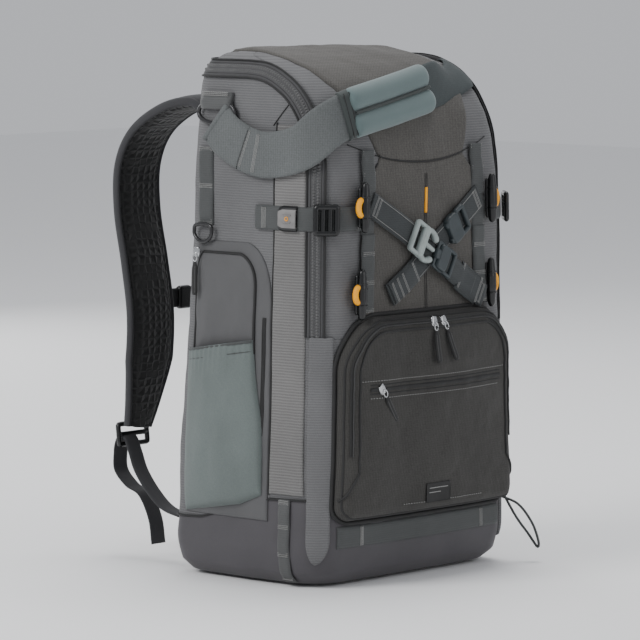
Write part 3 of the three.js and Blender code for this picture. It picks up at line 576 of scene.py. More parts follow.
# Each look's maker, name and colour, then for cloth its thread pitch in millimetres, rows, slant, bump,
# contrast, roughness and sheen, and for plastic its roughness and metal share
LOOKS = {
    "light": (fabric, "light cloth", "light", 2.5, 1.4, 0.5, 0.45, 0.14, 0.85, 0.03),
    "strip": (fabric, "strip cloth", "strip", 2.8, 2.0, 0.0, 0.55, 0.15, 0.85, 0.03),
    "dark": (fabric, "dark cloth", "dark", 2.3, 0.15, 0.9, 0.8, 0.42, 0.88, 0.08),
    "pocket": (fabric, "pocket cloth", "pocket", 2.3, 0.15, 0.9, 0.7, 0.36, 0.85, 0.08),
    "coated": (fabric, "coated cloth", "#545455", 0.8, 0.2, 0.0, 0.08, 0.05, 0.62, 0.1),
    "boot": (fabric, "boot cloth", "boot", 0.9, 0.2, 0.0, 0.12, 0.07, 0.7, 0.1),
    "stretch": (fabric, "stretch cloth", "#666e6c", 1.6, 0.1, 0.8, 0.2, 0.12, 0.9, 0.12),
    "webbing": (fabric, "narrow webbing", "webbing", 2.2, 0.5, 0.0, 0.5, 0.2, 0.72, 0.1),
    "grey_webbing": (fabric, "grey webbing", "#505151", 2.2, 0.8, 0.0, 0.5, 0.12, 0.75, 0.1),
    "cross_webbing": (fabric, "cross webbing", "#3a3d3e", 2.2, 0.5, 0.4, 0.5, 0.2, 0.7, 0.1),
    "carry": (fabric, "carry webbing", "carry", 2.3, 0.2, 1.0, 0.7, 0.26, 0.85, 0.05),
    "grip": (fabric, "grip cloth", "grip", 0.9, 0.1, 0.0, 0.08, 0.04, 0.72, 0.3),
    "cuff": (fabric, "cuff cloth", "#3f4443", 0.9, 0.1, 0.0, 0.1, 0.05, 0.8, 0.1),
    "tape": (fabric, "zip tape", "#4b4b4c", 0.9, 0.6, 0.0, 0.3, 0.15, 0.78, 0.05),
    "piping": (fabric, "piping", "#2c2c2c", 0.8, 0.3, 0.0, 0.2, 0.15, 0.7, 0.05),
    "strap_slate": (fabric, "slate webbing", "#3e4445", 2.0, 0.2, 1.0, 0.5, 0.18, 0.85, 0.05),
    "strap": (fabric, "strap cloth", "#3b3b3d", 0.9, 0.3, 0.0, 0.2, 0.1, 0.82, 0.1),
    "mesh": (air_mesh, "air mesh"),
    "thread": (fabric, "thread", "#8e8e8c", 0.6, 0.5, 0.0, 0.2, 0.1, 0.7, 0.1),
    "black": (plastic, "black plastic", "black", 0.28),
    "dark_coil": (plastic, "dark coil", "#333333", 0.5),
    "coil": (plastic, "zip coil", "#4c4c4c", 0.42),
    "pale": (plastic, "pale plastic", "pale", 0.45),
    "hinge": (plastic, "hinge plate", "#777574", 0.5),
    "slate": (plastic, "slate plastic", "#323a3d", 0.42),
    "ring": (plastic, "dark ring", "#3a3a3b", 0.3, 0.6),
    "silver": (plastic, "silver metal", "#b9babb", 0.25, 0.9),
    "amber": (plastic, "amber elastic", "amber", 0.62),
}


def look(key):
    """The material of a look, made once"""
    made = bpy.context.scene.get("look " + key)
    if made and made in bpy.data.materials:
        return bpy.data.materials[made]
    make, *values = LOOKS[key]
    material = make(*values)
    bpy.context.scene["look " + key] = material.name
    return material


def looks(*keys):
    """Several looks, in the order of a piece's material numbers"""
    return [look(key) for key in keys]


# The body's shells

# The main zip seen from the side: places from back to front with their heights
ZIP_PATH = np.array([(51, 501.5), (5, 501.5), (-18, 498.5), (-39, 489.5), (-55, 477.6), (-67, 462.6),
                     (-77.5, 443), (-82.6, 419.6), (-84.2, 393.7), (-85.7, 246)])
# Height of the boot's upper seam at places from front to back
BASE_SEAM = np.array([(-143, 89), (-36.7, 86), (0, 74.6), (56, 60), (143, 56)])


class Zip:
    """The zip's line as places on the body"""

    def __init__(self, form):
        path = along(ZIP_PATH, 160)
        self.w = form.level(path[:, 1])
        self.s = form.by_y(path[:, 0], self.w)
        order = np.argsort(self.s)
        self.knots = self.s[order], self.w[order]
        self.lowest = self.knots[0][0]

    def over(self, s, front):
        """The line's place on the profile above a place round the rim"""
        return np.where(np.abs(s) < self.lowest, front, np.interp(np.abs(s), *self.knots))


def rim_places(u):
    """Places round the rim, closer together at the zip and the corners"""
    knots = np.array([0, 1, 1.55, 1.8, 2, 3, 4, 5])
    share = np.array([0, 0.2, 0.29, 0.42, 0.46, 0.7, 0.8, 1.0])
    t = 2 * u - 1
    return np.sign(t) * np.interp(np.abs(t), share, knots)


def seam_level(form, s):
    y = form.at(s, 60.0)[..., 1]
    return form.level(np.interp(y, BASE_SEAM[:, 0], BASE_SEAM[:, 1]))


def build_shells():
    form, slack = Form(), sizes().slack / MM
    zip_line = Zip(form)

    def shell(name, node, low, high, rows, seed, material):
        piece = Piece(name)

        def place(u, v, k):
            s = rim_places(u)
            a, b = low(s), high(s)
            w = a + (b - a) * v
            fine = 0.2 * slack * noise3(form.plain(s, w), 14, seed)
            return form.at(s, w, -3.0 * (1 - k) + k * fine * smoothstep((b - a) / 30))
        piece.slab(250, rows, place)
        piece.finish(look(material), [node], caps=False)

    shell("body_cloth", "body_shell", lambda s: seam_level(form, s),
          lambda s: zip_line.over(s, form.level(247.0)), 100, 3.0, "light")
    shell("lid_cloth", "lid_shell", lambda s: zip_line.over(s, form.level(243.0)),
          lambda s: np.full_like(s, form.crown), 120, 8.0, "light")

    boot = Piece("boot_cloth")

    def place(u, v, k):
        s = rim_places(u)
        share = np.clip(v / 0.16, 0, 1)
        w = seam_level(form, s) * np.clip((v - 0.16) / 0.84, 0, 1)
        p = form.at(s, w)
        out = -3.0 * (1 - k) + k * 0.6 * slack * noise3(p, 34, 2.0) * smoothstep(w / 30)
        p = form.at(s, w, out)
        p[:, 0] *= share
        p[:, 1] = 4 + (p[:, 1] - 4) * share
        p[:, 2] = np.where(v < 0.16, 3 * (1 - k), p[:, 2])
        return p
    boot.slab(220, 60, place)
    seam_s = rim_places(np.linspace(0, 1, 400))
    line = form.at(seam_s, seam_level(form, seam_s), 0.9)
    boot.tube(line, 0.9, 6, material=1)
    boot.finish(looks("boot", "piping"), ["base_boot"], caps=False)


def zip_run(form, zip_line, out, count=900):
    """Points and faces along the whole zip, from low left round the back to low right"""
    s, w = zip_line.s[::-1], zip_line.w[::-1]
    rear = np.linspace(3, 5, 60)[1:]
    top = np.full(rear.shape, w[-1])
    half_s = np.concatenate([s, np.linspace(s[-1], 3, 12)[1:], rear])
    half_w = np.concatenate([w, np.full(11, w[-1]), top])
    all_s = np.concatenate([-half_s, half_s[::-1][1:]])
    all_w = np.concatenate([half_w, half_w[::-1][1:]])
    base = form.at(all_s, all_w)
    run = run_along(base)
    at = np.linspace(0, run[-1], count)
    # The rim's place jumps from left to right at the middle of the back
    left = run <= run[len(half_s) - 1] + 1e-6
    middle = run[len(half_s) - 1]
    ps, pw = np.empty(count), np.interp(at, run, all_w)
    ps[at <= middle] = np.interp(at[at <= middle], run[left], all_s[left])
    right = run >= middle - 1e-6
    mirrored = all_s[right].copy()
    mirrored[0] = 5
    ps[at > middle] = np.interp(at[at > middle], run[right], mirrored)
    normal = form.normal(ps, pw)
    return form.at(ps, pw, out), normal


def strip_along(piece, centre, normal, half, rise, material=0, low=-0.6, lift=None, cross=8):
    """A flat strip with soft edges that follows points on a surface"""
    normal = np.broadcast_to(np.asarray(normal, float), centre.shape)
    ahead = np.gradient(centre, axis=0)
    ahead /= np.linalg.norm(ahead, axis=1, keepdims=True) + 1e-12
    across = np.cross(normal, ahead)
    across /= np.linalg.norm(across, axis=1, keepdims=True) + 1e-12
    count = len(centre)
    half = np.broadcast_to(np.asarray(half, float), (count,))

    def place(u, v, k):
        i = np.rint(v * (count - 1)).astype(int)
        t = 2 * u - 1
        edge = np.sqrt(np.clip(1 - np.abs(t) ** 6, 0, 1))
        up = np.where(k > 0.5, rise * edge, low)
        if lift is not None:
            up = up + lift(t, v) * (k > 0.5)
        return centre[i] + across[i] * (t * half[i])[:, None] + normal[i] * up[:, None]
    piece.slab(cross, count - 1, place, material)


def build_zip():
    form = Form()
    zip_line = Zip(form)
    piece = Piece("main_zip_tape")
    centre, normal = zip_run(form, zip_line, 0.4, 420)
    strip_along(piece, centre, normal, 9.6, 1.2, 0, -0.6)
    fine, fine_n = zip_run(form, zip_line, 1.2, 2900)
    run = run_along(fine)

    def teeth(t, v):
        along_zip = run[np.rint(v * 2899).astype(int)]
        beat = 0.5 + 0.5 * np.sin(2 * math.pi * along_zip / 3.0 + (t > 0) * math.pi)
        row = np.exp(-((np.abs(t) - 0.5) / 0.3) ** 4)
        return (0.3 + 1.3 * beat) * row
    strip_along(piece, fine, fine_n, 4.6, 0.1, 1, -0.4, lift=teeth, cross=10)
    wide, wide_n = zip_run(form, zip_line, 1.5, 420)
    ahead = np.gradient(wide, axis=0)
    ahead /= np.linalg.norm(ahead, axis=1, keepdims=True)
    across = np.cross(wide_n, ahead)
    for shift in (-9.4, 9.4):
        piece.tube(wide + across * shift, 1.1, 6, material=2, face=wide_n, squash=0.8)
    for shift in (-5.6, 5.6):
        piece.tube(wide + across * shift + wide_n * 0.05, 0.35, 4, material=2, face=wide_n)
    piece.finish(looks("tape", "coil", "piping"), ["main_zip"], weld=0.001)


# Panels and pockets

def patch(piece, form, rows, edges, out, nu=60, nv=60, side=0, base=0.3, dent=0.0, seed=1.0,
          soft=3.0):
    """A raised patch of cloth: rows are its heights, edges its two ends at a height"""
    slack = sizes().slack / MM * dent

    def place(u, v, k):
        u, v = (1 - np.cos(math.pi * u)) / 2, (1 - np.cos(math.pi * v)) / 2
        low, high = rows
        z = low + (high - low) * v
        first, last = edges(z)
        across = first + (last - first) * u
        gap = np.minimum(np.minimum(u, 1 - u) * np.abs(last - first), np.minimum(v, 1 - v) * (high - low))
        edge = soft_edge(gap, soft)
        rise = out(across, z, gap) if callable(out) else out
        spot = form.side(side, across, z) if side else form.front(across, z)
        up = np.where(k > 0.5, base + (rise - base) * edge, base - 0.5)
        if dent:
            up = up + (k > 0.5) * edge * dents(spot, slack, seed)
        return form.side(side, across, z, up) if side else form.front(across, z, up)
    piece.slab(nu, nv, place)


def seam_z(x):
    """Height of the curved seam under the crown panel"""
    return 411.3 + 7.3 * (x / 68.0) ** 2


def panel_half(z):
    """Half width of the front panel at a height"""
    return np.interp(z, [255, 370, 400, 412, 420], [97, 97, 84, 72, 66])


def build_front():
    form = Form()
    panel = Piece("front_panel_cloth")
    slack = sizes().slack / MM

    def place(u, v, k):
        t = 2 * u - 1
        top = seam_z(t * 68)
        z = 255 + (top - 255) * v
        last = panel_half(z)
        x = -last + 2 * last * u
        p = form.front(x, z)
        gap = np.minimum(np.minimum(u, 1 - u) * 2 * last, (top - z))
        edge = soft_edge(gap, 2.5)
        pull = 1.3 * np.exp(-((x / 3.0) ** 2)) * smoothstep((z - 300) / 60)
        up = np.where(k > 0.5, 0.5 + 1.7 * edge + dents(p, slack * 0.4, 4.0) * edge - 0.5 * pull, 0)
        return form.front(x, z, up)
    panel.slab(110, 110, place)
    z = np.linspace(258, 400, 120)
    for x in (-1.4, 1.4):
        panel.tube(form.front(np.full_like(z, x), z, 2.3), 0.3, 4, material=1)
    panel.finish(looks("dark", "piping"), ["front_panel"], caps=False)

    x = np.linspace(-70, 70, 90)
    seams = Piece("lid_seams")
    seams.tube(form.front(x, seam_z(x), 1.9), 0.8, 6)
    for sx in (-1, 1):
        x = sx * np.linspace(67, 113, 30)
        seams.tube(form.front(x, seam_z(x), 0.6), 0.55, 5)
    for sx in (-1, 1):
        z = np.linspace(262, 412, 70)
        seams.tube(form.front(sx * panel_half(z), z, 0.9), 0.7, 5)
    seams.finish(look("piping"), [])

    tab = Piece("seam_tab")
    z = np.linspace(361, 386, 12)
    centre = form.front(np.zeros_like(z), z, 2.4)
    strip_along(tab, centre, FORWARD, 1.7, 0.9)
    tab.finish(look("amber"), [])

    crown = Piece("crown_panel_cloth")
    profile = []
    for w in np.linspace(form.level(409.0), form.level(form.high * 0.992), 90):
        p = form.plain(0.0, w)
        profile.append((p[1], p[2]))
    top = profile[-1]
    profile += [(y, top[1] + (form.high - top[1]) * smoothstep((y - top[0]) / 30))
                for y in np.linspace(top[0] + 4, 64, 30)]
    profile = along(profile, 120)
    turn = np.gradient(profile, axis=0)
    for _ in range(3):
        turn = averaged(turn, 17)
    turn /= np.linalg.norm(turn, axis=1, keepdims=True)
    tree = surface_tree(form)

    def crown_place(u, v, k):
        i = np.rint(v * 119).astype(int)
        half = np.interp(v, [0, 0.2, 0.42, 0.6, 1.0], [68, 88, 105, 108, 104])
        t = 2 * u - 1
        x = t * half
        start = seam_z(x) - 409.3
        made, n_out = np.empty((len(u), 3)), np.empty((len(u), 3))
        blend = np.exp(-v / 0.05)
        gap = np.minimum(np.minimum(u, 1 - u) * 2 * half, np.minimum(v * 240 + 0.01, (1 - v) * 240))
        edge = soft_edge(gap, 2.5)
        for n in range(len(u)):
            direction = Vector((0, -turn[i[n], 1], turn[i[n], 0]))
            spot = Vector((x[n], profile[i[n], 0], profile[i[n], 1] + start[n] * blend[n]))
            hit, normal, _, _ = tree.ray_cast(spot + direction * 60, -direction)
            if hit is None:
                hit, normal, _, _ = tree.find_nearest(spot)
            made[n], n_out[n] = hit, normal
        up = np.where(k > 0.5, 0.5 + 1.7 * edge + dents(made, slack * 0.4, 14.0) * edge, 0.0)
        return made + n_out * up[:, None]
    crown.slab(56, 119, crown_place)
    crown.finish(look("dark"), ["crown_panel"], caps=False)


def surface_tree(form):
    """The whole body's surface as a tree for casting rays"""
    mesh = moved(grid_points(200, 220), lambda u, v, k: form.at(rim_places(u), v * form.crown))
    bm = bmesh.new()
    bm.from_mesh(mesh)
    tree = BVHTree.FromBMesh(bm)
    bm.free()
    bpy.data.meshes.remove(mesh)
    return tree


def rounded(half, low, high, top, bottom, inset=0.0, count=240):
    """Points of a rounded outline, (x, z), starting at the bottom middle, clockwise from the front"""
    half, low, high = half - inset, low + inset, high - inset
    top, bottom = max(top - inset, 1), max(bottom - inset, 1)
    points = [(0, low)]

    def arc(cx, cz, r, a0, a1):
        for a in np.linspace(a0, a1, 14):
            points.append((cx + r * math.cos(a), cz + r * math.sin(a)))
    arc(-half + bottom, low + bottom, bottom, 1.5 * math.pi, math.pi)
    arc(-half + top, high - top, top, math.pi, 0.5 * math.pi)
    arc(half - top, high - top, top, 0.5 * math.pi, 0)
    arc(half - bottom, low + bottom, bottom, 0, -0.5 * math.pi)
    points.append((0, low))
    p = np.array(points)
    run = run_along(p)
    return between(np.linspace(0, run[-1], count), run, p)


# The front pocket's outline in millimetres: half width, lower and upper edge, corner radii
POCKET = {"half": 127.0, "low": 66.3, "high": 263.0, "top": 52.0, "bottom": 16.0}


def pocket_span(z):
    """Half width of the pocket at a height"""
    return rounded_span(z, **POCKET)


def pocket_rise(x, z):
    """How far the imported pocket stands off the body"""
    gap_z = np.minimum(z - POCKET["low"], POCKET["high"] - z)
    gap = np.minimum(gap_z, (pocket_span(z) - np.abs(x)))
    g = np.clip(gap, 0, None)
    wall = 17.0 * soft_edge(g, 13)
    middle = (1 - (x / 130) ** 2) * np.sin(math.pi * np.clip((z - 60) / 208, 0, 1))
    return wall + 4.5 * middle * smoothstep(g / 40)


def build_front_pocket():
    form, slack = Form(), sizes().slack / MM
    piece = Piece("front_pocket_cloth")

    def sag(x, z):
        """Folds below the upper zip and in the lower corners"""
        fold = 1.6 * np.exp(-((z - 212 - 0.10 * x) / 7) ** 2) * np.exp(-((x + 20) / 80) ** 2)
        crease = 1.3 * np.exp(-((z - 120 + 0.25 * x) / 6) ** 2) * np.exp(-((x - 70) / 45) ** 2)
        return fold - crease

    def top_at(x, z):
        """Height of the finished cloth off the body"""
        up = pocket_rise(x, z)
        fade = smoothstep(up / 15 - 0.4)
        return up + (sag(x, z) + dents(form.front(x, z), slack * 1.5, 6.0)) * fade

    def place(u, v, k):
        u2, v2 = (1 - np.cos(math.pi * u)) / 2, (1 - np.cos(math.pi * v)) / 2
        z = POCKET["low"] + (POCKET["high"] - POCKET["low"]) * v2
        half = pocket_span(z)
        x = half * (2 * u2 - 1)
        up = top_at(x, z)
        return form.front(x, z, 0.6 + np.where(k > 0.5, up, np.maximum(up - 2.0, -0.4)))
    piece.slab(140, 120, place)

    def on_pocket(path, lift):
        return form.front(path[:, 0], path[:, 1], 0.6 + top_at(path[:, 0], path[:, 1]) + lift)
    piece.tube(on_pocket(rounded(*POCKET.values(), 3.2), -0.2), 1.3, 7, material=1)
    path = rounded(*POCKET.values(), 13.5, 300)
    path = path[path[:, 1] > 112]
    ends = np.array([(4.0, -10.0), (7.5, -20.0), (12.0, -27.0)])
    path = np.vstack([path[0] + ends[::-1] * [-1, 1], path, path[-1] + ends])
    piece.tube(on_pocket(along(path, 260), 0.4), 1.3, 7, material=1)
    path = rounded(*POCKET.values(), 8.4, 420)
    upper = path[path[:, 1] > 130]
    centre = on_pocket(upper, 0.1)
    normal = centre - on_pocket(upper, -1.0)
    normal = normal / np.linalg.norm(normal, axis=1, keepdims=True)
    strip_along(piece, centre, normal, 3.6, 0.3, 1, -0.5)
    fine = on_pocket(along(upper, 700), 0.9)
    beads = np.where(np.arange(len(fine)) % 2 == 0, 1.15, 0.65)
    piece.tube(fine, beads, 5, material=2)

    def stitched(x0, z0, x1, z1, radius, material, count=60, lift=0.25):
        t = np.linspace(0, 1, count)
        path = np.stack([x0 + (x1 - x0) * t, z0 + (z1 - z0) * t], 1)
        piece.tube(on_pocket(path, lift), radius, 6, material=material)

    def dotted(x0, x1, z0):
        for x in np.arange(x0, x1, 3.4):
            stitched(x, z0, x + 1.9, z0, 0.42, 3, 3, 0.2)
    dotted(-112, 112, 203)
    dotted(-100, 100, 186)
    dotted(-48, 70, 78)
    stitched(-100, 194.5, 104, 194.5, 2.6, 1, lift=-1.3)
    for rise in (4.4, -4.4):
        stitched(-100, 194.5 + rise, 104, 194.5 + rise, 0.7, 1, lift=-0.1)
    piece.finish(looks("pocket", "piping", "dark_coil", "thread"), ["front_pocket"], caps=False,
                 weld=0.005)

    rim = Piece("pocket_rim_piping")
    line = rounded(129, 64, 265.5, 54, 18, 0, 260)
    rim.tube(form.front(line[:, 0], line[:, 1], 2.2), 2.1, 8)
    rim.finish(look("piping"), ["pocket_rim"], caps=False)

    label = Piece("pocket_label_cloth")
    patch(label, form, (77, 96), lambda z: (np.full_like(z, -18.0), np.full_like(z, 18.0)),
          lambda x, z, g: pocket_rise(x, z) + 1.9, 30, 16, base=20.5, soft=0.8)
    for row, reach in enumerate((14, 9, 12)):
        t = np.linspace(-14, -14 + 2 * reach, 20)
        z = np.full_like(t, 91.0 - 4.5 * row)
        label.tube(form.front(t, z, pocket_rise(t, z) + 2.0), 0.5, 5, material=1)
    label.finish(looks("piping", "thread"), ["pocket_label"], caps=False)


def slider(piece, at, down, out, long, width):
    """A zip slider with its bail and a cord pull"""
    at, down, out = (np.asarray(v, float) for v in (at, down, out))
    down, out = down / np.linalg.norm(down), out / np.linalg.norm(out)
    side = np.cross(down, out)

    def shape(u, v, k):
        a, t = 2 * u - 1, 2 * v - 1
        wide = width * (1.0 - 0.25 * t * t)
        up = np.where(k > 0.5, 2.2 * np.sqrt(np.clip(1 - 0.8 * a ** 4 - 0.15 * t ** 2, 0, 1)), 0.0)
        return at + np.outer(a * wide, side) + np.outer(t * 5.0, down) + np.outer(up, out)
    piece.slab(10, 10, shape)
    ring = turns(24)
    centre = at + down * 5 + out * 2.4
    bail = centre + np.outer(np.cos(ring) * 2.6, side) + np.outer(np.sin(ring) * 4.2, down)
    piece.tube(bail, 0.75, 6, closed=True)
    start = at + down * 8.5 + out * 2.2
    t = np.linspace(0, 1, 14)
    cord = start + np.outer(t * long, down) + np.outer(-1.0 * t, out) + np.outer(np.sin(t * 3.2) * 0.6, side)
    piece.tube(cord, np.interp(t, [0, 0.1, 0.2, 0.9, 1], [1.2, 2.6, 3.6, 4.0, 2.6]), 10, material=1,
               squash=0.5, face=out)
    for way in (-1, 1):
        piece.tube(cord[2:-1] + side * way * 1.7 + out * 1.5, 0.35, 4, material=2)


def build_sliders():
    form = Form()
    piece = Piece("zip_sliders")
    for x, lean in ((-7.0, -0.05), (8.0, 0.28)):
        z = POCKET["high"] - 8.0
        at = form.front(x, z, 0.6 + pocket_rise(np.float64(x), np.float64(z)) + 1.2)
        slider(piece, at, (lean, -0.22, -1), (0, -1, 0.2), 33, 4.6)
    x, z = -86.0, 194.5
    at = form.front(x, z, pocket_rise(np.float64(x), np.float64(z)) + 1.6)
    slider(piece, at, (0.75, 0.05, -1), (0, -1, 0), 32, 4.6)
    for sign in (-1, 1):
        at = form.side(sign, 60.0, 322.0, 9.0)
        slider(piece, at, (0, 0.02, -1), (sign, 0, 0), 34, 4.4)
    piece.finish(looks("silver", "piping", "coil"), [])


def build_sides():
    form = Form()
    for name, sign in SIDES:
        strip = Piece("side_strip_cloth_" + name)

        def strip_edges(z):
            front = np.interp(z, [92, 394, 420, 440, 450], [-78.5, -75.5, -73, -65, -60])
            return np.full_like(z, -37.0), front
        patch(strip, form, (91, 450), strip_edges, 2.4, 20, 150, side=sign, dent=0.5, seed=11.0)
        z = np.linspace(90, 452, 120)
        strip.tube(form.side(sign, np.full_like(z, -36.6), z, 1.5), 0.8, 5, material=1)
        t = np.linspace(0, 1, 30)
        strip.tube(form.side(sign, -36.6 + 5 - 22 * t, 449 + 27 * t, 0.5), 0.6, 5, material=1)
        strip.finish(looks("strip", "piping"), ["side_strip_" + name], caps=False)

        tongue = Piece("corner_tongue_cloth_" + name)

        def place(u, v, k):
            z = 24 + 222 * v
            w = form.level(z)
            s0 = form.by_x(np.full_like(z, 129.0), w)
            s1 = form.by_y(np.full_like(z, -80.5), w)
            tip = np.clip((z - 24) / 26, 0, 1)
            tip = np.sqrt(1 - (1 - tip) ** 2)
            middle = s0 + (s1 - s0) * 0.62
            s = middle + (s0 + (s1 - s0) * u - middle) * tip
            gap = np.minimum(np.minimum(u, 1 - u) * 26 * tip, z - 24)
            edge = soft_edge(gap, 2)
            up = np.where(k > 0.5, 0.4 + 2.2 * edge, -0.2)
            return form.at(sign * s, w, up)
        tongue.slab(18, 90, place)
        tongue.finish(look("light"), ["corner_tongue_" + name], caps=False)

        pocket = Piece("side_pocket_cloth_" + name)

        def base_edges(z):
            back = np.interp(z, [64, 334], [76, 66])
            top = np.clip((z - 276) / 58, 0, 1)
            front = -35 + 36 * (1 - np.sqrt(1 - top ** 2))
            return back, front
        patch(pocket, form, (64, 334), base_edges, 2.0, 40, 120, side=sign, dent=0.4, seed=17.0)

        def raised_edges(z):
            top = np.clip((z - 292) / 31, 0, 1)
            bend = 1 - np.sqrt(1 - top ** 2)
            return 67 - 12 * bend - (z - 225) * 0.03, -15 + 26 * bend

        def dome(y, z, gap):
            return 4.2 + 3.0 * smoothstep(gap / 22)
        patch(pocket, form, (222, 322), raised_edges, dome, 50, 60, side=sign, base=1.2, dent=0.9, seed=23.0,
              soft=4.0)
        z = np.concatenate([np.linspace(226, 292, 30), np.linspace(292, 322, 26)[1:]])
        back, front = raised_edges(z)
        top = np.linspace(front[-1], back[-1], 30)[1:]
        line = np.concatenate([form.side(sign, front, z, 2.6), form.side(sign, top, np.full(29, 322.4), 2.6),
                               form.side(sign, back[::-1], z[::-1], 2.6)])
        pocket.tube(line, 1.5, 7, material=1)
        z = np.linspace(128, 262, 60)
        lean = np.interp(z, [128, 150, 262], [-22.5, -26.0, -28.0])
        for shift in (-1.6, 1.6):
            pocket.tube(form.side(sign, lean + shift, z, 2.3), 0.7, 6, material=1)
        pocket.tube(form.side(sign, lean, z, 1.9), 1.2, 6, material=1)
        pocket.finish(looks("coated", "piping"), ["side_pocket_" + name], caps=False)

        cup = Piece("open_pocket_cloth_" + name)

        def hem(y):
            return np.interp(y, [-16, 68], [240, 226.5])

        def low(y):
            return np.interp(y, [-29, 0, 76], [89, 77.5, 65])

        def cup_place(u, v, k):
            v2 = v ** 0.8
            lean = np.clip((1 - v2) * 1.35, 0, 1)
            front = -15.5 - 13 * smoothstep(lean)
            y = front + (72 - front) * u + 3 * u * (1 - v2)
            z = low(y) + (hem(y) - low(y)) * v2
            arch = np.clip(4 * u * (1 - u), 0, 1) ** 0.42
            belly = soft_edge(v2, 0.2)
            up = 2.9 + (12.6 + 1.2 * np.sin(math.pi * v2)) * arch * belly
            spot = form.side(sign, y, z)
            gather = 0.7 * np.sin(y * 0.9 + 3 * np.sin(z * 0.02)) * smoothstep((v2 - 0.75) / 0.25)
            fold = 1.3 * noise3(spot * [1, 1, 0.45], 17, 31.0) * arch * belly
            up = up + (gather * 0.5 + fold) * (k > 0.5) + fold * (k < 0.5)
            up = np.where(k > 0.5, up, np.maximum(up - 1.8, 2.4))
            return form.side(sign, y, z, up)
        cup.slab(70, 90, cup_place)
        u = np.linspace(0.01, 0.99, 90)
        y = -15.5 + 87.5 * u
        arch = (4 * u * (1 - u)) ** 0.42
        rim = form.side(sign, y, hem(y) - 1.5, 2.0 + 12.8 * arch)
        cup.tube(rim, 1.7, 8, material=1, squash=0.8)
        rim = form.side(sign, y, hem(y) - 11, 2.6 + 12.9 * arch)
        cup.tube(rim, 0.5, 5, material=1)
        cup.finish(looks("stretch", "webbing"), ["open_pocket_" + name], caps=False)


def unit(v):
    v = np.asarray(v, float)
    return v / (np.linalg.norm(v, axis=-1, keepdims=True) + 1e-12)


def block(piece, at, across, facing, size, corner=3.0, soft=1.5, n=20, waist=0.0, dip=0.0):
    """A moulded block: width along across, height at right angles to it, rounded all over"""
    across, facing = unit(across), unit(facing)
    upward = np.cross(facing, across)
    w, h, t = (v / 2 for v in size)

    def place(u, v, k):
        a, b = w * np.sin((u - 0.5) * math.pi), h * np.sin((v - 0.5) * math.pi)
        gap = np.minimum(w - np.abs(a), h - np.abs(b))
        dx, dy = np.abs(a) - w + corner, np.abs(b) - h + corner
        bend = (dx > 0) & (dy > 0)
        most = np.maximum(dx, dy)
        scale = np.where(bend, most / np.maximum(np.hypot(dx, dy), 1e-9), 1.0)
        a = np.where(bend, np.sign(a) * (w - corner + dx * scale), a)
        b = np.where(bend, np.sign(b) * (h - corner + dy * scale), b)
        edge = soft_edge(gap, soft)
        a = a * (1 - waist * (1 - (b / h) ** 2))
        up = t * edge * np.where(k > 0.5, 1 - dip * np.exp(-((a / w) ** 2 + (b / h) ** 2) * 6), -1)
        return at + np.outer(a, across) + np.outer(b, upward) + np.outer(up, facing)
    piece.slab(n, n, place)


def loop(piece, at, across, facing, width, height, wire, corner=4.0, bars=(), material=0, squash=1.0):
    """A moulded frame: a closed rounded loop and straight bars across it"""
    across, facing = unit(across), unit(facing)
    upward = np.cross(facing, across)
    p = rounded(width / 2, -height / 2, height / 2, corner, corner, wire / 2, 72)[:-1]
    piece.tube(at + np.outer(p[:, 0], across) + np.outer(p[:, 1], upward), wire / 2, 10, closed=True,
               material=material, squash=squash, face=facing)
    for bar in bars:
        t = np.linspace(-width / 2 + wire / 2, width / 2 - wire / 2, 8)
        piece.tube(at + np.outer(t, across) + bar * upward, wire / 2, 10, material=material, squash=squash,
                   face=facing)


def tacks(piece, centre, across, normal, half, material, rise=1.2, rows=3):
    """Dense bar-tack stitching across a webbing"""
    across, normal = unit(across), unit(normal)
    ahead = np.cross(normal, across)
    for row in range(rows):
        t = np.linspace(-half, half, 24)
        wave = 0.35 * np.where(np.arange(24) % 2 == 0, 1, -1)
        line = centre + np.outer(t, across) + np.outer(wave + (row - (rows - 1) / 2) * 1.6, ahead)
        piece.tube(line + normal * rise, 0.35, 4, material=material)


# The shoulder strap's path: out from the back, share of the height, and lean outwards
STRAP_ROWS = [(-8, .860, 0), (8, .878, 1), (28, .9, 2), (66, .885, 4), (105, .838, 5), (125, .77, 4),
              (127, .68, 2), (118, .58, 0), (112, .48, -3), (114, .39, -4), (121, .31, -3), (126, .252, 0)]
# The lower webbing as it rises to the ladder lock and its tail as it falls: out, share of the height
WEB_RISE = [(8, .084), (40, .09), (70, .102), (92, .13), (111, .168), (121, .202), (128, .229)]
WEB_FALL = [(136, .236), (141, .222), (143, .202), (142, .165), (126, .136), (107, .12), (93, .076),
            (88, .027)]


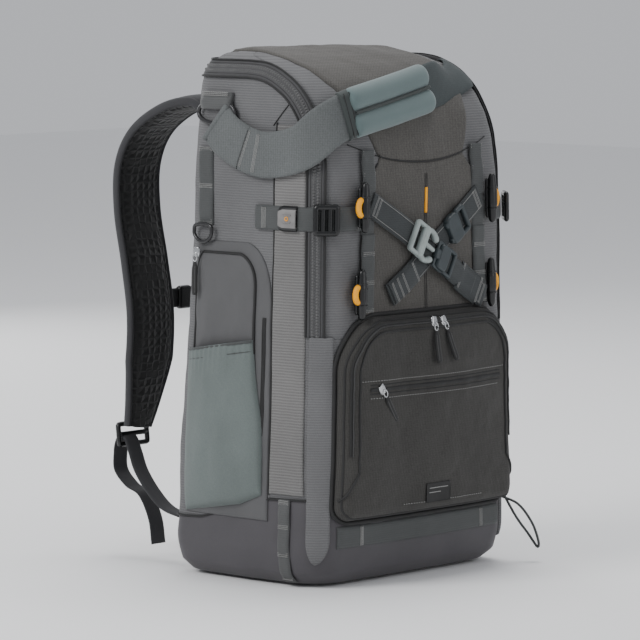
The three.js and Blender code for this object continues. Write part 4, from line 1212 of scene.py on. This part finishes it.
def build_harness():
    back = sizes().depth / 2 / MM * 0.87
    high, narrow = sizes().height / MM, sizes().webbing / 2 / MM
    for name, sign in SIDES:
        path = along([(sign * (75 + dx), back + out, z * high) for out, z, dx in STRAP_ROWS], 190)
        ahead = unit(np.gradient(path, axis=0))
        normal = unit(np.cross(ahead, np.array([1.0, 0, 0])))
        across = unit(np.cross(normal, ahead))
        padded = Piece("shoulder_pad_" + name)
        width = np.interp(np.linspace(0, 1, 190), [0, 0.08, 0.84, 1], [28, 31.5, 31.0, 16])

        def face(way, depth, net):
            def place(u, v, k):
                i = np.rint(v * 189).astype(int)
                t = 2 * u - 1
                edge = np.sqrt(np.clip(1 - np.abs(t) ** 3.2, 0, 1))
                up = depth * edge * (1 + net * 0.05 * noise3(path[i], 30, 3.0))
                if net:
                    up = up - 1.1 * np.exp(-((np.abs(t) - 0.80) / 0.05) ** 2)
                up = np.where(k > 0.5, up, 0.0)
                return path[i] + across[i] * (t * width[i])[:, None] + normal[i] * (way * up)[:, None]
            return place
        inner = -1 if normal[60][1] > 0 else 1
        padded.slab(30, 189, face(inner, 7.3, 1), 0)
        padded.slab(20, 189, face(-inner, 6.6, 0), 1)
        for way in (-1, 1):
            edge = path + across * (way * width * 1.0)[:, None]
            padded.tube(edge, 3.0, 8, material=1, squash=1.5, face=normal)
        padded.finish(looks("mesh", "strap"), ["shoulder_strap_" + name], caps=False)

        hold = Piece("strap_fittings_" + name)
        at = np.array([sign * 75.0, back + 133, 0.237 * high])
        loop(hold, at, (1, 0, 0), (0, -1, 0.12), 47, 26, 5.2, 4, (0.0,), squash=1.1)
        hold.finish(look("black"), ["ladder_lock_" + name])

        web = Piece("strap_tail_" + name)
        points = [(sign * (83 + 1.6 * max(0, 5 - i)), back + out, z * high) for i, (out, z) in
                  enumerate(WEB_RISE)]
        points += [(sign * 83, back + out, z * high) for out, z in WEB_FALL]
        line = along(points, 160)
        step = unit(np.gradient(line, axis=0))
        up = unit(np.cross(np.array([1.0, 0, 0]), step))
        strip_along(web, line, up, narrow, 1.1, 0, -0.8)
        end = line[-5]
        tacks(web, end, np.cross(up[-5], step[-5]), up[-5], 8, 1, 1.1)
        web.finish(looks("strap", "thread"), ["strap_webbing_" + name], caps=False)

    chest = Piece("chest_webbing")
    x = np.linspace(-75, 75, 80)
    line = np.stack([x, np.full(80, back + 122.3), np.full(80, 0.5 * high)], 1)
    strip_along(chest, line, -FORWARD, narrow - 0.2, 1.0, 0, -0.8)
    chest.finish(look("strap"), ["chest_strap"], caps=False)
    clip = Piece("chest_clip")
    at = np.array([0, back + 122.2, 0.5 * high])
    block(clip, at + [-9, 0, 0], (1, 0, 0), (0, 1, 0), (20, 24, 7.6), 4, 2)
    block(clip, at + [9, 0, 0], (1, 0, 0), (0, 1, 0), (22, 21, 7), 4, 2, waist=0.1)
    clip.finish(look("black"), ["chest_buckle"])


def back_place(form, x, z, out):
    """Point on the back panel"""
    w = form.level(z)
    _, half, _, _, _, radius, _ = form.spans(w)
    s = np.where(x < 0, -1, 1) * (5 - np.abs(x) / (half - radius))
    return form.at(s, w, out)


def build_pads():
    form = Form()

    def cushion(piece, middle, half, low, high, top, bottom, rise, channel):
        def place(u, v, k):
            v2 = 0.5 - 0.5 * np.cos(math.pi * v)
            z = low + (high - low) * v2
            span = rounded_span(z, half, low, high, top, bottom)
            t = np.sin((u - 0.5) * math.pi)
            x = middle + t * span
            gap = np.minimum(np.minimum(z - low, high - z), span * (1 - np.abs(t)))
            edge = soft_edge(gap, 9)
            groove = np.exp(-(((z - low) % channel - channel / 2) / 3.0) ** 2) * smoothstep(gap / 12)
            height = rise * edge - 3.2 * groove - 0.4
            return back_place(form, x, z, np.where(k > 0.5, height, -0.8))
        piece.slab(60, 110, place)
    for name, sign in SIDES:
        pad = Piece("back_cushion_" + name)
        cushion(pad, sign * 63, 42, 155.5, 435, 20, 14, 12.4, 56)
        pad.finish(look("mesh"), ["back_pad_" + name], caps=False)
    pad = Piece("lumbar_cushion")
    cushion(pad, 0, 106, 52.5, 144.5, 22, 22, 16, 46)
    pad.finish(look("mesh"), ["lumbar_pad"], caps=False)


# The carry strap's path: numbered spot round the rim, share of the height, and height off the body
CARRY_ROWS = [(11.5, .868, 6), (12.0, .838, 7), (13.0, .812, 7), (14.4, .826, 9), (16.2, .864, 13),
              (17.85, .886, 13), (18.9, .906, 12), (20.1, .930, 12), (21.4, .952, 8), (23.4, .962, 8),
              (25.2, .92, 7), (26.3, .862, 7), (27.3, .85, 6)]
CARRY_HALF = 22.5


def rim_spot(spot):
    """Place round the rim of a numbered spot: 11 left side back edge to 28 right side back edge"""
    return np.interp(spot, [11, 14, 18, 21, 25, 28], [-3, -2, -1, 1, 2, 3])


def build_carry():
    form, high = Form(), sizes().height / MM
    points = []
    for spot, z, out in CARRY_ROWS:
        s, w = rim_spot(spot), form.level(z * high)
        # The place rides along with the point, so that the face can be read off it
        points.append([*form.at(s, w, out), 40 * s, w])
    rows = along(points, 360)
    line = rows[:, :3]
    normal = form.normal(rows[:, 3] / 40, rows[:, 4])
    normal = unit(averaged(normal, 31))
    ahead = unit(np.gradient(line, axis=0))
    across = unit(np.cross(normal, ahead))

    def near(spot):
        z, out = (np.interp(spot, [r[0] for r in CARRY_ROWS], [r[i] for r in CARRY_ROWS]) for i in (1, 2))
        p = form.at(rim_spot(spot), form.level(z * high), out)
        return int(np.argmin(np.linalg.norm(line - p, axis=1)))
    first, last, cuff = near(17.85), near(19.9), near(17.4)

    band = Piece("carry_webbing")
    strip_along(band, line[:first + 6], normal[:first + 6], CARRY_HALF, 1.4, 0, -1.0, cross=14)
    tree = surface_tree(form)
    rest = np.arange(last - 6, 360)

    def draped(u, v, k):
        i = rest[np.rint(v * (len(rest) - 1)).astype(int)]
        t = 2 * u - 1
        flat = line[i] + across[i] * (t * CARRY_HALF)[:, None]
        edge = np.sqrt(np.clip(1 - np.abs(t) ** 6, 0, 1))
        up = np.where(k > 0.5, 1.4 * edge, -0.8)
        hang = smoothstep((i - last - 4) / 45)
        made = np.empty_like(flat)
        for n, p in enumerate(flat):
            spot, turn, _, _ = tree.find_nearest(Vector(p))
            away = Vector(p) - spot
            high_off = max(away.dot(turn), 0)
            lie = np.array(spot) + np.array(turn) * (high_off * (1 - hang[n]) + 3.0 * hang[n] + up[n])
            made[n] = lie * hang[n] + (p + normal[i[n]] * up[n]) * (1 - hang[n])
        return made
    band.slab(16, len(rest) - 1, draped, 1)
    for i in (30, 39):
        tacks(band, line[i], across[i], normal[i], 19, 2, 1.4)
    strip_along(band, line[:30], normal[:30], CARRY_HALF - 0.4, 3.0, 0, 1.0, cross=10)
    for a in (0, 359):
        axis = np.outer(np.linspace(-22, 22, 12), across[a])
        band.tube(line[a] + axis + normal[a] * 1.0, 3.4, 12, material=0 if a == 0 else 1)
    band.finish(looks("carry", "strap_slate", "thread"), ["carry_strap"], caps=True)

    grip = Piece("grip_roll")
    at = np.linspace(first, last, 90)
    base = between(at, np.arange(360), line)
    up, wide = (unit(between(at, np.arange(360), rows)) for rows in (normal, across))

    def lobe(centre_t, reach):
        def place(u, v, k):
            i = np.rint(v * 89).astype(int)
            a = u * 2 * math.pi
            end = np.sqrt(np.clip(1 - np.abs(2 * v - 1) ** 26, 0.0, 1))
            crease = 0.5 * noise3(base[i], 26, centre_t) * end
            r = (reach + crease * 0.5) * (0.15 + 0.85 * end)
            sideways = wide[i] * (centre_t + r * np.cos(a))[:, None]
            return base[i] + sideways + up[i] * (0.2 + 0.82 * r * np.sin(a))[:, None]
        grip.sheet(28, 89, place)
    lobe(-12.3, 12.6)
    lobe(12.3, 12.6)
    edge = base + up * 7.6
    grip.tube(edge[3:-3], 1.7, 6, material=1, squash=0.6, face=up[3:-3])
    grip.finish(looks("grip", "cuff"), ["grip_pad"])

    collar = Piece("grip_cuff")
    a, b = cuff, first + 4
    strip_along(collar, line[a:b], normal[a:b], 24.2, 5.6, 0, -3.5, cross=16)
    for i in (a + 2, b - 3):
        t = np.linspace(-22, 22, 30)
        collar.tube(line[i] + np.outer(t, across[i]) + normal[i] * 5.6, 0.5, 5, material=1)
    collar.finish(looks("cuff", "piping"), [], caps=False)


def build_rings():
    form, narrow = Form(), sizes().webbing / 2 / MM
    for name, sign, y0 in (("left", -1, 40.9), ("right", 1, 37.3)):
        ring = Piece("d_ring_" + name)
        t = turns(60)
        y, z = y0 + 25 * np.sign(np.cos(t)) * np.abs(np.cos(t)) ** 0.8, 459 + 10.5 * np.sin(t)
        flat = form.side(sign, y, z * 0 + 459, 5.0)
        flat[:, 2] = z
        ring.tube(flat, 2.2, 10, closed=True)
        ring.finish(look("ring"), ["upper_ring_" + name])
        tab = Piece("ring_webbing_" + name)
        z = np.linspace(462, 478, 26)
        over = 5.4 + 3.2 * np.exp(-((z - 468) / 5.0) ** 2)
        line = form.side(sign, np.full_like(z, y0), z, over)
        flat = np.cross([0, 1.0, 0], np.gradient(line, axis=0)) * sign
        flat = unit(flat)
        strip_along(tab, line, flat * np.where(flat[:, :1] * sign > 0, 1, -1), 19.5, 1.0, 0, -6.0)
        side = side_spot(form, sign, y0, 476.0, 8.2)
        tacks(tab, side, (0, 1, 0), (sign, 0, 0), 17, 1, 0.6)
        tab.finish(looks("grey_webbing", "thread"), ["ring_tab_" + name], caps=False)

        small = Piece("lower_d_ring_" + name)
        rise = np.where(np.sin(t) > 0, 7.5 * np.abs(np.sin(t)) ** 0.35, 10 * np.sin(t))
        flat = form.side(sign, 54 + 12.3 * np.cos(t), 342 + rise, 6.5)
        small.tube(flat, 1.9, 9, closed=True)
        small.finish(look("ring"), ["lower_ring_" + name])

        chain = Piece("side_webbing_" + name)
        z = np.linspace(349, 425, 70)
        wave = 1.0 + 1.4 * np.abs(np.sin((z - 349) / 76 * math.pi * 2)) ** 0.8
        line = form.side(sign, np.interp(z, [351, 425], [54, 57]), z, wave)
        strip_along(chain, line, (sign, 0, 0), narrow - 0.2, 1.3, 0, -0.9)
        for at in (352, 387, 423):
            spot = side_spot(form, sign, np.interp(at, [351, 425], [54, 57]), at, 1.2)
            tacks(chain, spot, (0, 1, 0), (sign, 0, 0), 8.5, 1, 1.3)
        chain.finish(looks("webbing", "thread"), ["side_daisy_chain_" + name], caps=False)


def build_webbing():
    form, narrow = Form(), sizes().webbing / 2 / MM
    for name, sign in SIDES:
        chain = Piece("front_webbing_" + name)
        z = np.linspace(268.5, 425.5, 160)
        wave = 3.0 + 1.1 * np.abs(np.sin((z - 268) / 29.0 * math.pi))
        wave = np.where((z > 344) & (z < 376), 2.4, wave)
        x = sign * np.full_like(z, 88.8)
        line = form.front(x, z, wave)
        strip_along(chain, line, FORWARD, narrow, 1.7, 0, -0.8)
        for at in (270, 297, 325, 402, 423):
            spot = front_spot(form, sign * 88.8, at, 3.1)
            tacks(chain, spot, (1, 0, 0), (0, -1, 0), 9, 1, 1.7)
        chain.finish(looks("webbing", "thread"), ["front_daisy_chain_" + name], caps=False)

        band = Piece("side_strap_" + name)
        w = form.level(360.0)
        s0, s1 = form.by_y(np.float64(-14.5), w), form.by_x(np.float64(95.0), w)
        s = np.linspace(float(s0), float(s1), 110)
        line = form.at(sign * s, np.full(110, w), 3.4)
        normal = unit(form.at(sign * s, np.full(110, w), 5.0) - line)
        strip_along(band, line, normal, 11.8, 1.3, 0, -0.8)
        for i in (6, -6):
            tacks(band, line[i], (0, 0, 1), normal[i], 10, 1, 1.3, rows=4)
        band.finish(looks("webbing", "thread"), ["compression_strap_" + name], caps=False)

        buckle = Piece("side_clip_" + name)
        s = np.linspace(float(form.by_y(np.float64(-47.0), w)), float(form.by_y(np.float64(-68.0), w)), 30)
        line = form.at(sign * s, np.full(30, w), 6.0)
        normal = unit(form.at(sign * s, np.full(30, w), 8.0) - line)
        for spans, rise, part in (([9, 11, 11], 2.6, 1), ([10.6, 12.4, 12.4], 1.9, 0)):
            half = np.interp(np.linspace(0, 1, 30), [0, .2, 1], spans)
            strip_along(buckle, line, normal, half, rise, part, -1.0)
        mid = line[14] + normal[14] * 2.7
        tip = unit(line[20] - line[8])
        for way in (-1, 1):
            t = np.linspace(-1, 1, 12)
            buckle.tube(mid + np.outer(t * 5, tip) + np.array([0, 0, 1.0]) * way * 3.5, 0.7, 6, material=1)
        ring = turns(16)
        dot = mid + np.outer(np.cos(ring) * 1.8, tip) + np.outer(np.sin(ring) * 1.8, [0, 0, 1])
        buckle.tube(dot, 0.5, 5, closed=True, material=2)
        corner = form.at(sign * 1.5, w, 9.4)
        out = unit(form.at(sign * 1.5, w, 12.0) - corner)
        flat = unit(np.cross([0, 0, 1.0], out))
        loop(buckle, corner, flat, out, 27, 31, 6.0, 4, (), 0, 0.9)
        for way in (-1, 1):
            t = np.linspace(-13.5, 13.5, 10)
            buckle.tube(corner + flat * way * 3.6 + np.outer(t, [0, 0, 1.0]), 2.6, 8, squash=0.9, face=out)
        buckle.finish(looks("black", "hinge", "amber"), ["side_buckle_" + name])

    base = Piece("base_band")
    x = np.linspace(-122, 122, 160)
    line = form.front(x, np.full(160, 50.4), 0.6)
    strip_along(base, line, FORWARD, 10.8, 1.6, 0, -0.9)
    for at in (-92, -90, 90, 92):
        spot = front_spot(form, at, 50.4, 0.7)
        tacks(base, spot, (0, 0, 1), (0, -1, 0), 9.5, 1, 1.6, rows=2)
    base.finish(looks("webbing", "thread"), ["base_webbing"], caps=False)

    tail = Piece("tail_band")
    z = np.linspace(5.5, 87, 90)
    line = form.side(-1, np.full_like(z, -56.0), z, 0.8 + 1.2 * np.abs(np.sin((z - 5) / 27 * math.pi)))
    strip_along(tail, line, (-1, 0, 0), 7.3, 1.5, 0, -0.9)
    for at in (10, 33, 60, 84):
        spot = side_spot(form, -1, -56.0, at, 1.0)
        tacks(tail, spot, (0, 1, 0), (-1, 0, 0), 6.5, 1, 1.5)
    tail.finish(looks("grey_webbing", "thread"), ["tail_webbing"], caps=False)

    high = sizes().height / MM
    root = form.at(rim_spot(22.8), form.level(np.float64(0.142 * high)), 1.5)
    foot = form.at(rim_spot(22.8), form.level(np.float64(0.125 * high)), 1.5)
    cord = Piece("cord_webbing")
    line = along([root, (143, -109, 46), (150.5, -119, 28), (153, -128.8, 15.2), (152.5, -130.5, 22),
                  (150.5, -124.0, 40), (144, -112, 58), foot + [0, 0, 1]], 120)
    wide = unit(np.cross(np.gradient(line, axis=0), [0.75, 0.66, 0.1]))
    cord.tube(line, 2.4, 8, squash=0.55, face=wide)
    cord.finish(look("webbing"), ["cord_loop"], caps=True)


def build_cross_straps():
    form, face = Form(), FORWARD

    def strap(name, node, start, end, outs, extra=None):
        piece = Piece(name)
        (x0, z0), (x1, z1) = start, end
        n = 170
        t = np.linspace(0, 1, n)
        line = form.front(x0 + (x1 - x0) * t, z0 + (z1 - z0) * t, np.interp(t, *outs))
        strip_along(piece, line, face, 12.3, 1.4, 0, -0.9)
        ahead = unit(np.array([x1 - x0, 0, z1 - z0]))
        across = unit(np.cross(face, ahead))
        for i in (5, 9, n - 6, n - 10):
            tacks(piece, line[i], across, face, 10.5, 1, 1.4, rows=2)
        for way in (-1, 1):
            piece.tube(line[6:-6] + across * way * 9.6 + face * 1.45, 0.32, 4, material=1)
        if extra:
            extra(piece, line, ahead, across)
        piece.finish(looks("cross_webbing", "thread", "slate"), [node], caps=False)
        return line, ahead, across

    def falling_parts(piece, line, ahead, across):
        i = 122
        strip_along(piece, line[100:150], face, 12.8, 4.2, 0, 1.2)
        loop(piece, line[i - 26] + face * 4.5, ahead, face, 20, 29, 4.2, 3, (0.0,), 2, 0.8)
        strip_along(piece, line[128:160], face, 15.0, 3.8, 0, 1.0)
        for k in (130, 157):
            tacks(piece, line[k], across, face, 13.5, 1, 3.8, rows=2)

    def rising_parts(piece, line, ahead, across):
        strip_along(piece, line[2:44], face, 12.6, 3.6, 0, 1.0)
        for k in (6, 14, 22, 40):
            tacks(piece, line[k], across, face, 11, 1, 3.6, rows=2)
    rise, ahead2, across2 = strap("rising_webbing", "rising_strap", (-59.2, 282.8), (88.8, 374),
                                  ([0, 0.5, 1], [5.6, 5.6, 5.6]), rising_parts)
    fall, ahead1, across1 = strap("falling_webbing", "falling_strap", (-88.8, 374), (88.8, 273.5),
                                  ([0, 0.2, 0.35, 0.62, 0.8, 1], [6.2, 7.8, 8.6, 8.8, 8.0, 7.6]),
                                  falling_parts)

    pale = Piece("pale_buckle")
    at = fall[66] + face * 4.9
    loop(pale, at - ahead1 * 8, ahead1, face, 17, 34, 4.6, 3, (), 0, 1.5)
    block(pale, at + ahead1 * 1.5, ahead1, face, (9, 34, 8.0), 3, 2.2, 22)
    t = np.linspace(0, 1, 26)
    for way in (-1, 1):
        bow = way * (12.5 + 3.6 * np.sin(math.pi * np.clip(t * 1.15, 0, 1)) - 2.0 * t)
        arm = at + np.outer(2 + 20 * t, ahead1) + np.outer(bow, across1)
        pale.tube(arm, np.interp(t, [0, 0.5, 0.85, 1], [3.0, 2.6, 3.6, 2.2]), 10, squash=1.15, face=face)
    tongue = at + np.outer(2 + 19 * t, ahead1)
    pale.tube(tongue, np.interp(t, [0, 0.3, 1], [4.2, 2.6, 2.2]), 10, squash=1.0, face=face)
    pale.finish(look("pale"), ["buckle_frame"])

    catch = Piece("dark_catch")
    at = fall[101] + face * 4.9
    block(catch, at - ahead1 * 4, ahead1, face, (16, 27, 8.4), 5, 2.2, 22)
    loop(catch, at + ahead1 * 8, ahead1, face, 15, 29, 4.4, 3, (), 0, 1.3)
    block(catch, at - ahead1 * 13, ahead1, face, (9, 11, 6.5), 3, 1.8)
    catch.finish(look("slate"), ["buckle_catch"])

    third = Piece("slate_buckle")
    at = rise[119] + face * 3.4
    loop(third, at + ahead2 * 9, ahead2, face, 17, 30, 4.8, 4, (), 0, 1.4)
    block(third, at - ahead2 * 6, ahead2, face, (20, 30, 8.4), 6, 2.4, 24, 0.0, 0.15)
    for way in (-1, 1):
        block(third, at - ahead2 * 14 + across2 * way * 8.6, ahead2, face, (8, 6, 6.5), 2.5, 1.6)
    third.finish(look("slate"), ["rising_buckle"])


def build_hooks():
    front = -sizes().depth / 2 / MM * 1.01 - 5
    for name, sign in SIDES:
        for level, z, out in (("upper", 370.9, 7.2), ("lower", 286.5, 4.9)):
            node = level + "_" + name
            hook = Piece("hook_body_" + node)
            at = np.array([sign * 103.6, front - out, z])
            t = np.linspace(-1, 1, 60)
            body = at + np.stack([0 * t, 0 * t, 24.6 * t], 1)
            girth = np.interp(np.abs(t), [0, 0.25, 0.6, 0.85, 0.95, 1], [5.6, 5.6, 4.6, 4.0, 3.2, 1.2])
            hook.tube(body, girth, 16, squash=0.9, face=(0, -1, 0))
            ring = turns(24)
            for step in (-0.42, 0.42):
                band = np.stack([5.3 * np.cos(ring), -5.035 * np.sin(ring), np.full(24, step * 24.6)], 1)
                hook.tube(at + band, 0.8, 6, closed=True)
            block(hook, at + [0, 4.0, 0], (1, 0, 0), (0, -1, 0), (11, 40, 3.4), 3, 1.2)
            hook.finish(look("black"), ["hook_" + node])
            elastic = Piece("elastic_" + node)
            ring = turns(40)
            middle = at + [sign * 4.6, 1, 0]
            band = middle + np.stack([4.4 * np.cos(ring), 0 * ring, 7.2 * np.sin(ring)], 1)
            elastic.tube(band, 3.1, 12, closed=True)
            elastic.finish(look("amber"), ["elastic_loop_" + node])


def build_stage():
    """Floor, lights and the camera at the photograph's angle"""
    bm = bmesh.new()
    bmesh.ops.create_grid(bm, x_segments=1, y_segments=1, size=6.0)
    mesh = bpy.data.meshes.new("floor")
    bm.to_mesh(mesh)
    bm.free()
    floor = bpy.data.objects.new("floor", mesh)
    bpy.context.collection.objects.link(floor)
    mat, _, shader, _ = new_material("Floor")
    shader.inputs["Base Color"].default_value = (*linear("#f4f4f4"), 1)
    shader.inputs["Roughness"].default_value = 0.85
    shader.inputs["Specular IOR Level"].default_value = 0.15
    mesh.materials.append(mat)

    world = bpy.data.worlds.new("Studio")
    bpy.context.scene.world = world
    world.use_nodes = True
    back = world.node_tree.nodes["Background"]
    back.inputs["Color"].default_value = (0.93, 0.95, 1.0, 1)
    back.inputs["Strength"].default_value = 0.6

    azimuth, rise = math.radians(AZIMUTH), math.radians(ELEVATION)
    right = Vector((math.cos(azimuth), math.sin(azimuth), 0))
    level = math.cos(rise)
    back_way = Vector((math.sin(azimuth) * level, -math.cos(azimuth) * level, math.sin(rise)))
    up = back_way.cross(right)
    target = Vector((0, 0, 0.265))
    eye = target - 0.022 * right - 0.017 * up + back_way * 4.444
    lens = bpy.data.cameras.new("Camera")
    lens.lens, lens.sensor_width = 250.0, 36.0
    lens.clip_end = 40.0
    camera = bpy.data.objects.new("Camera", lens)
    camera.matrix_world = Matrix((right, up, back_way)).transposed().to_4x4()
    camera.matrix_world.translation = eye
    bpy.context.collection.objects.link(camera)
    bpy.context.scene.camera = camera

    def lamp(name, place, size, power):
        data = bpy.data.lights.new(name, "AREA")
        data.shape, data.size, data.energy = "DISK", size, power
        light = bpy.data.objects.new(name, data)
        way = Vector(place)
        light.location = target + right * way.x + up * way.y + back_way * way.z
        light.rotation_euler = (light.location - target).to_track_quat("Z", "Y").to_euler()
        bpy.context.collection.objects.link(light)
    lamp("Key", (-2.2, 1.7, 1.7), 1.6, 60)
    lamp("Fill", (2.2, 0.7, 1.6), 2.0, 15)
    lamp("Top", (0.2, 2.6, -0.5), 1.6, 38)
    lamp("Rim", (-1.2, 0.8, -2.2), 1.5, 16)


class PACK_OT_shells(bpy.types.Operator):
    """Build the body, lid and base cloth"""
    bl_idname = "pack.shells"
    bl_label = "Shells"

    def execute(self, context):
        build_shells()
        return {"FINISHED"}


class PACK_OT_zip(bpy.types.Operator):
    """Build the long zip that opens the lid"""
    bl_idname = "pack.zip"
    bl_label = "Main zip"

    def execute(self, context):
        build_zip()
        return {"FINISHED"}


class PACK_OT_front(bpy.types.Operator):
    """Build the front and crown panels with their seams"""
    bl_idname = "pack.front"
    bl_label = "Front panels"

    def execute(self, context):
        build_front()
        return {"FINISHED"}


class PACK_OT_front_pocket(bpy.types.Operator):
    """Build the front pocket with its piping, rim and label"""
    bl_idname = "pack.front_pocket"
    bl_label = "Front pocket"

    def execute(self, context):
        build_front_pocket()
        return {"FINISHED"}


class PACK_OT_sliders(bpy.types.Operator):
    """Build the zip sliders and their pulls"""
    bl_idname = "pack.sliders"
    bl_label = "Zip sliders"

    def execute(self, context):
        build_sliders()
        return {"FINISHED"}


class PACK_OT_sides(bpy.types.Operator):
    """Build the side strips, corner tongues and side pockets"""
    bl_idname = "pack.sides"
    bl_label = "Sides"

    def execute(self, context):
        build_sides()
        return {"FINISHED"}


class PACK_OT_harness(bpy.types.Operator):
    """Build the shoulder straps, their webbing and the chest strap"""
    bl_idname = "pack.harness"
    bl_label = "Harness"

    def execute(self, context):
        build_harness()
        return {"FINISHED"}


class PACK_OT_pads(bpy.types.Operator):
    """Build the back and lumbar pads"""
    bl_idname = "pack.pads"
    bl_label = "Back pads"

    def execute(self, context):
        build_pads()
        return {"FINISHED"}


class PACK_OT_carry(bpy.types.Operator):
    """Build the carry strap with its rolled grip"""
    bl_idname = "pack.carry"
    bl_label = "Carry strap"

    def execute(self, context):
        build_carry()
        return {"FINISHED"}


class PACK_OT_rings(bpy.types.Operator):
    """Build the rings, their tabs and the side daisy chains"""
    bl_idname = "pack.rings"
    bl_label = "Rings"

    def execute(self, context):
        build_rings()
        return {"FINISHED"}


class PACK_OT_webbing(bpy.types.Operator):
    """Build the flat webbing sewn to the body"""
    bl_idname = "pack.webbing"
    bl_label = "Webbing"

    def execute(self, context):
        build_webbing()
        return {"FINISHED"}


class PACK_OT_cross_straps(bpy.types.Operator):
    """Build the two crossing straps with their buckles"""
    bl_idname = "pack.cross_straps"
    bl_label = "Cross straps"

    def execute(self, context):
        build_cross_straps()
        return {"FINISHED"}


class PACK_OT_hooks(bpy.types.Operator):
    """Build the four moulded hooks and their elastic loops"""
    bl_idname = "pack.hooks"
    bl_label = "Hooks"

    def execute(self, context):
        build_hooks()
        return {"FINISHED"}


class PACK_OT_stage(bpy.types.Operator):
    """Build the floor, lights and camera"""
    bl_idname = "pack.stage"
    bl_label = "Stage"

    def execute(self, context):
        build_stage()
        return {"FINISHED"}


OPERATORS = (PACK_OT_shells, PACK_OT_zip, PACK_OT_front, PACK_OT_front_pocket, PACK_OT_sliders,
             PACK_OT_sides, PACK_OT_harness, PACK_OT_pads, PACK_OT_carry, PACK_OT_rings, PACK_OT_webbing,
             PACK_OT_cross_straps, PACK_OT_hooks, PACK_OT_stage)


class PACK_PT_panel(bpy.types.Panel):
    """Sizes and pieces of the backpack"""
    bl_idname = "PACK_PT_panel"
    bl_label = "Backpack"
    bl_space_type = "VIEW_3D"
    bl_region_type = "UI"
    bl_category = "Backpack"

    def draw(self, context):
        column = self.layout.column()
        for held in (context.scene.pack_sizes, context.scene.pack_colours):
            for name in type(held).__annotations__:
                column.prop(held, name)
        for tool in OPERATORS:
            column.operator(tool.bl_idname)


CLASSES = (PackSizes, PackColours) + OPERATORS + (PACK_PT_panel,)


def register():
    for made in CLASSES:
        bpy.utils.register_class(made)
    bpy.types.Scene.pack_sizes = bpy.props.PointerProperty(type=PackSizes)
    bpy.types.Scene.pack_colours = bpy.props.PointerProperty(type=PackColours)


def unregister():
    del bpy.types.Scene.pack_sizes, bpy.types.Scene.pack_colours
    for made in reversed(CLASSES):
        bpy.utils.unregister_class(made)


def main():
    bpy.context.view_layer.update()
    register()
    for tool in OPERATORS:
        getattr(bpy.ops.pack, tool.bl_idname.split(".")[1])()


if __name__ == "__main__":
    main()
